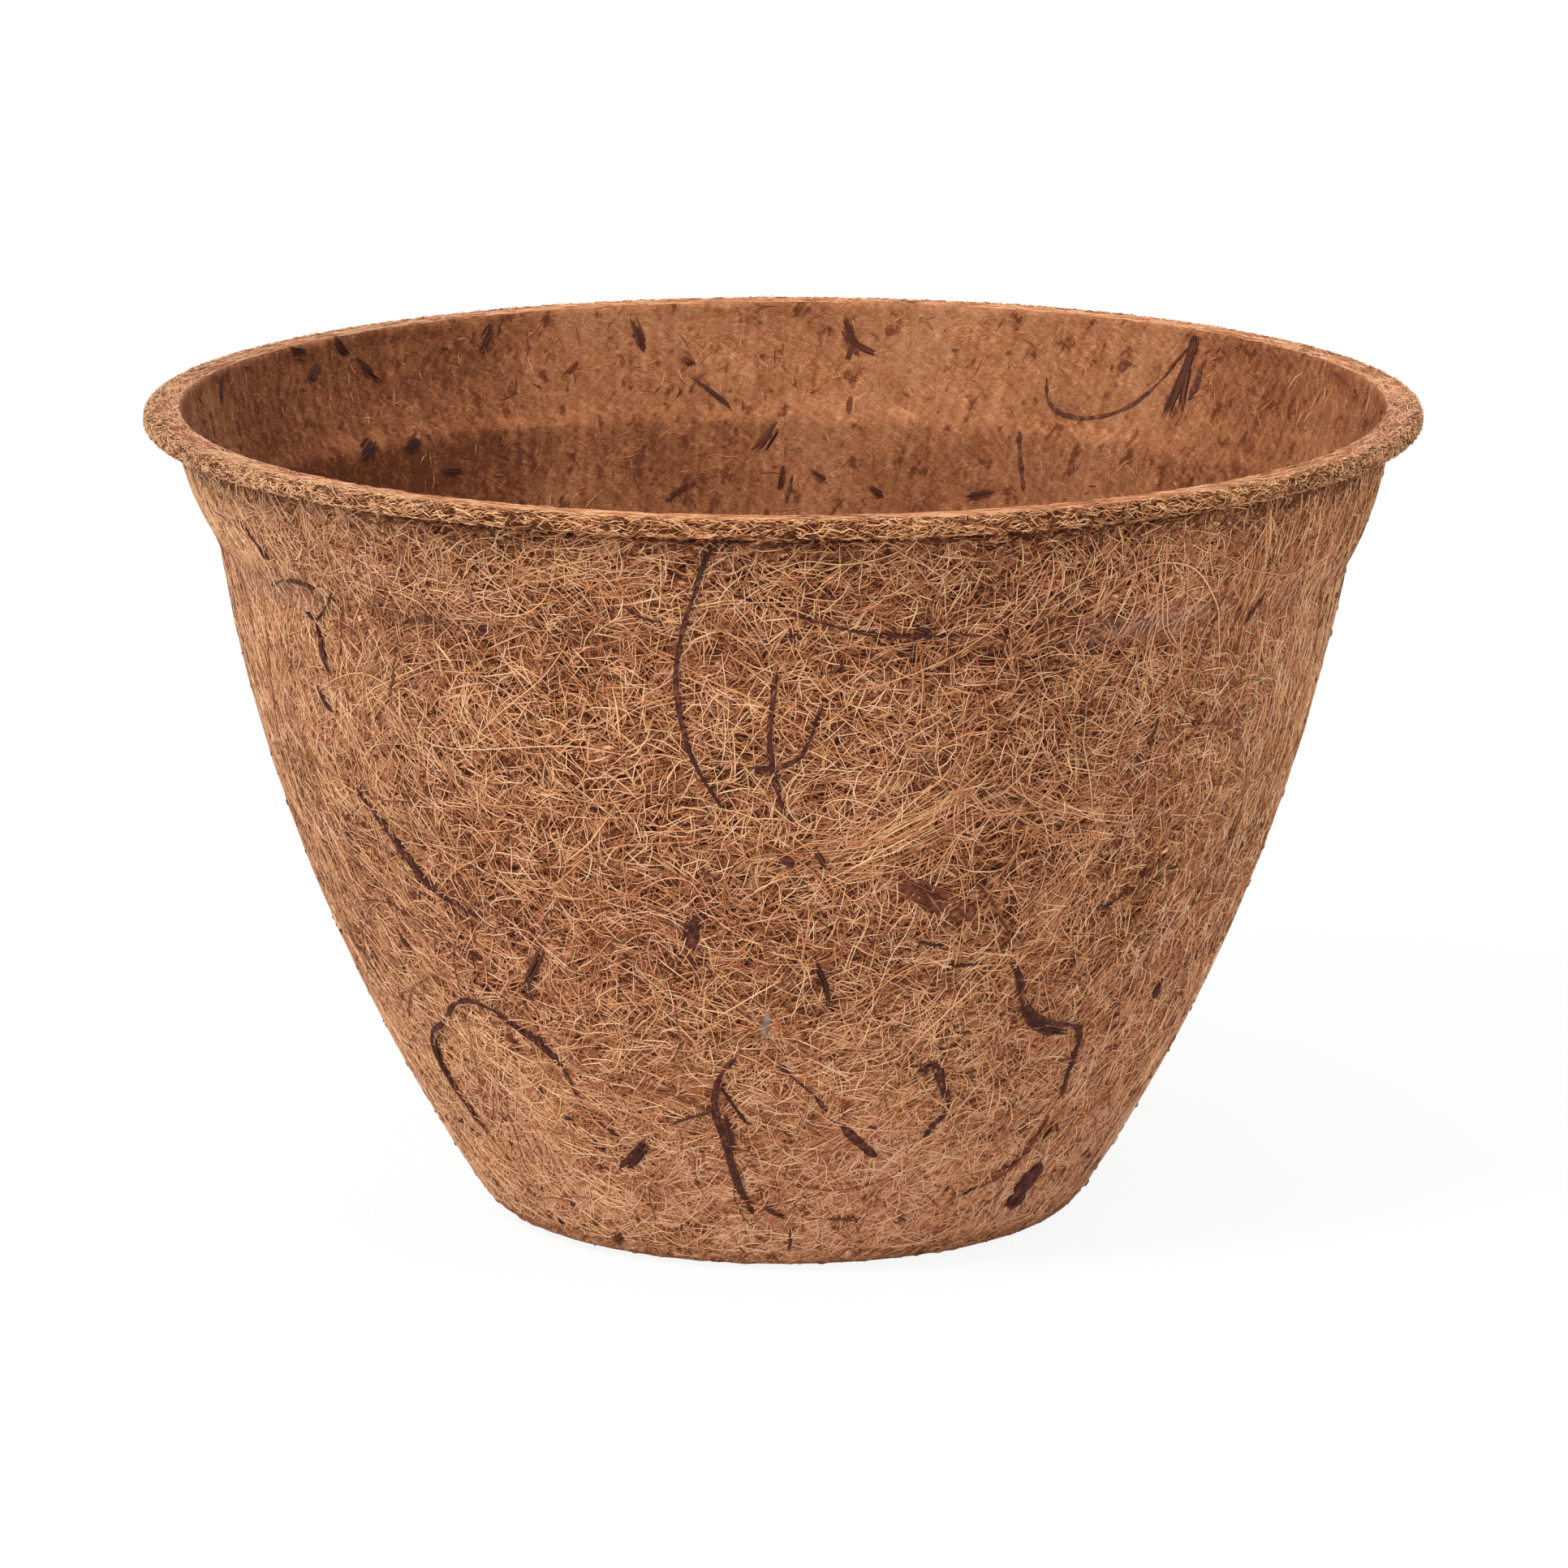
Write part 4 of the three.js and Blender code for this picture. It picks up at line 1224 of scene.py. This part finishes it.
# Fibres of the mat that cross over the husk and hold it down.
rng = np.random.default_rng(70)
count, points = CROSSING_FIBRES, CROSSING_POINTS
angle, mark = np.array(covered_places)[rng.integers(0, len(covered_places), count)].T
span = np.linspace(-0.5, 0.5, points) * rng.uniform(0.004, 0.009, count)[:, None]
heading = wall_lean(rng, angle, mark)[:, None] + rng.normal(0, 60, count)[:, None] * span
angles = angle[:, None] + span * np.cos(heading) / skin_at(mark)[0][:, None]
marks = np.clip(mark[:, None] + span * np.sin(heading), *wall_zone)
lift = arch(points, -0.0001, rng.uniform(0.0002, 0.0006, count))
tones = rng.normal(0.2, 0.26, count)
gold = np.clip(rng.normal(0.46, 0.32, count), 0, 1)
radii = tapered(points, rng.uniform(0.00006, 0.0001, count))
spin_fibres("crossing_fibres", angles, marks, lift, radii, tones, gold)


# Husk streaks
# Bundles of crushed husk fibre, pressed into both faces as soft dark streaks and spots.
STREAK_FIBRES = 12
FIBRES_BY_WIDTH = 5
STREAK_POINTS = 6
STREAK_TRACE = 40
STREAK_ENDS = -0.0002
STREAK_SPREAD = 0.00025
STREAK_FADE = 60
# How far the middles of the streaks stand off each face, and how much darker they are there.
STREAK_LIFT = {"outside": (-0.0001, 0.0006), "inside": (0.0, 0.0002)}
STREAK_DARKER = {"outside": -0.1, "inside": 0.0}
# Each streak: its width in millimetres, its tone, and its path in degrees and millimetres.
STREAKS = {
    "outside": {
        "hanging_top": (0.3, 0.0, [(-6.5, 124), (-7.5, 120), (-8.5, 114), (-10, 108)]),
        "bent_edge": (1.5, 0.0, [(30, 48), (32.5, 43), (36, 40.5), (40, 39.5), (42, 38)]),
        "bent_head": (0.8, 0.05, [(27, 55), (28.5, 52.5), (30, 48), (32, 44)]),
        "bent_tail": (0.8, 0.0, [(42, 37.5), (42.5, 32.5), (43.5, 25)]),
        "loop_left_edge": (0.9, 0.02, [(-52, 16.5), (-55, 24), (-57, 29.5), (-55.5, 34.5), (-50, 38.5)]),
        "loop_right_edge": (0.8, 0.02, [(-41.5, 43.5), (-35, 40), (-31.5, 36.5), (-30, 31.5)]),
        "loop_chip": (1.6, 0.1, [(-39, 39.5), (-37.5, 38)]),
        "low_front_edge": (1.2, 0.0, [(-9.5, 29.5), (-8.5, 23), (-7.5, 17.5), (-6.5, 13.5), (-5, 10)]),
        "low_front_blade": (1.6, 0.0, [(-8.5, 30), (-8, 25.5), (-7.5, 21)]),
        "low_front_right_branch": (0.3, 0.0, [(-9, 35), (-5.5, 28), (-3, 26)]),
        "low_front_left_branch": (0.3, 0.0, [(-9, 30), (-14, 28), (-17.5, 26)]),
        "left_diagonal_edge": (1.3, 0.0, [(-52.5, 77.5), (-48, 70), (-44.5, 63.5), (-41, 61),
                                          (-36.5, 58.5)]),
        "collar_edge": (0.4, 0.02, [(-5, 116.5), (0, 113), (8, 109.5), (17, 109), (22, 108)]),
        "middle_edge": (0.3, 0.0, [(-0.5, 105), (-1.5, 92), (0, 81)]),
        "hooked_edge": (1.2, 0.0, [(18, 36), (20, 37), (23, 30.5), (23.5, 28.5)]),
        "hooked_head": (2.2, 0.0, [(18.5, 37.5), (18.5, 35.5)]),
        "short_dark_edge": (1.2, 0.0, [(-20.5, 23), (-26, 17)]),
        "left_husk": (1.2, 0.1, [(-33.5, 48.5), (-31, 52.5), (-29, 56.5)]),
        "foot_spot": (2.2, 0.05, [(-31.5, 4.5), (-33, 3)]),
        "right_dash": (0.7, -0.1, [(15, 59), (17, 58), (19, 57.5)]),
        "right_bruise": (4.0, 0.14, [(12, 69), (15, 67), (18, 64.5)]),
        "right_scar": (0.3, 0.2, [(19, 70), (23, 66), (26, 60), (28, 55)]),
        "right_low_dash": (0.6, -0.05, [(19.5, 54), (23.5, 54)]),
        "left_chip": (1.0, -0.1, [(-53.5, 53), (-51.5, 50.5)]),
        "left_bit": (0.8, -0.1, [(-56, 92.5), (-55, 90.5), (-53.5, 88.5)]),
        "right_low_smear": (1.2, 0.0, [(56, 41.5), (56, 44.5)]),
        "collar_spot": (1.4, 0.0, [(0.5, 110.5), (1, 108.5)]),
        "collar_smudge": (1.8, 0.05, [(12, 110), (14, 109)]),
        "fallen_bit": (0.9, -0.05, [(3, 57.5), (5, 52), (5.5, 47)]),
        "rising_bit": (1.1, 0.0, [(3, 75), (4.5, 71.5)]),
        "bent_trail": (0.8, 0.08, [(43, 28.5), (42.5, 23), (39.5, 16.5), (35, 13.5), (26.5, 11.5)]),
        "foot_dash": (0.5, 0.05, [(6.5, 9.5), (9, 10), (14.5, 10)]),
        "foot_stub": (0.8, 0.0, [(1, 8), (1, 3.5)]),
        "low_front_twig": (0.6, 0.0, [(-4, 12.5), (0.5, 10)]),
        "left_blot": (1.1, -0.05, [(-53.5, 103), (-53.5, 99.5), (-52.5, 96)]),
    },
    "inside": {
        "left_top_spot": (2.0, -0.16, [(-122, 127.5), (-124.5, 126.5)]),
        "left_second_spot": (1.8, -0.16, [(-129, 127.5), (-130.5, 124.5)]),
        "left_spots": (1.6, -0.16, [(-126, 124.5), (-124, 121.5)]),
        "left_patch": (2.2, -0.16, [(-132, 123), (-134, 120)]),
        "left_edge": (1.2, -0.16, [(-107.5, 127), (-106, 122.5)]),
        "left_low_patch": (2.4, -0.16, [(-127, 108), (-130.5, 110.5)]),
        "left_low_spot": (2.0, -0.16, [(-134.5, 108), (-137, 110)]),
        "left_low_dash": (1.0, -0.1, [(-138.5, 104.5), (-142, 103.5)]),
        "mid_left_spot": (1.2, 0.1, [(-157, 117.5), (-158.5, 119.5)]),
        "far_left_streak": (1.4, 0.0, [(-149.5, 127), (-147.5, 122)]),
        "back_left_streak": (1.2, 0.0, [(-164.5, 126), (-165.5, 120.5)]),
        "back_smudge": (1.6, 0.08, [(-169.5, 119.5), (-170.5, 118)]),
        "back_line": (0.7, 0.05, [(-170, 116.5), (-175, 110.5)]),
        "back_streak": (1.1, 0.0, [(-186, 126.5), (-187, 121.5), (-190, 119.5)]),
        "back_branch": (0.8, 0.05, [(-187, 121.5), (-186.5, 118.5)]),
        "step_streak": (1.0, 0.1, [(-187, 113.5), (-187, 110)]),
        "step_smudge": (2.0, 0.0, [(-179, 108.5), (-177, 104)]),
        "low_streak": (1.2, 0.0, [(-180, 102.5), (-179.5, 98)]),
        "low_left_streak": (1.0, 0.05, [(-167, 97.5), (-170, 99.5)]),
        "low_right_streak": (1.0, 0.0, [(-183, 101.5), (-185, 99.5)]),
        "low_right_dash": (0.9, 0.0, [(-189.5, 99), (-191.5, 97.5)]),
        "right_dash": (1.1, 0.0, [(159.5, 98), (155.5, 100)]),
        "right_flake_stem": (1.8, -0.12, [(135, 127), (135.5, 122), (136.5, 117.5), (137, 113)]),
        "right_flake_head": (1.6, -0.12, [(135, 127.5), (135, 122.5)]),
        "right_flake_branch": (1.2, -0.02, [(135, 123), (135, 118), (134.5, 114)]),
        "arc_end": (0.6, -0.02, [(138, 120), (137, 122.5), (135, 126)]),
        "right_spot": (1.6, 0.05, [(112, 127), (106, 126)]),
    },
}

for seed, (zone, streaks) in enumerate(STREAKS.items()):
    rng = np.random.default_rng(60 + seed)
    points, last = STREAK_POINTS, STREAK_TRACE - 1
    angles, marks, tones, thickest = [], [], [], []
    for width, tone, route in streaks.values():
        angle, mark = traced(route, STREAK_TRACE, zone)
        for _ in range(STREAK_FIBRES + round(FIBRES_BY_WIDTH * width)):
            start, end = rng.uniform(0, 0.3), rng.uniform(0.7, 1)
            pick = np.linspace(start * last, end * last, points).astype(int)
            aside, along = rng.normal(0, STREAK_SPREAD * width, 2)
            angles.append(angle[pick] + aside / skin_at(mark[pick])[0])
            marks.append(mark[pick] + along)
            tones.append(tone + STREAK_FADE * math.hypot(aside, along))
            thickest.append(0.00012 + 0.00008 * min(width, 1.6))
    count = len(tones)
    lift = np.repeat(rng.uniform(*STREAK_LIFT[zone], count)[:, None], points, 1)
    lift[:, [0, -1]] = STREAK_ENDS
    tones = np.array(tones) + rng.normal(STREAK_DARKER[zone], 0.06, count)
    radii = tapered(points, rng.uniform(0.0001, thickest))
    angles, marks = np.array(angles), np.array(marks)
    spin_fibres(f"{zone}_streaks", angles, marks, lift, radii, tones, HUSK_GOLD, even=True)
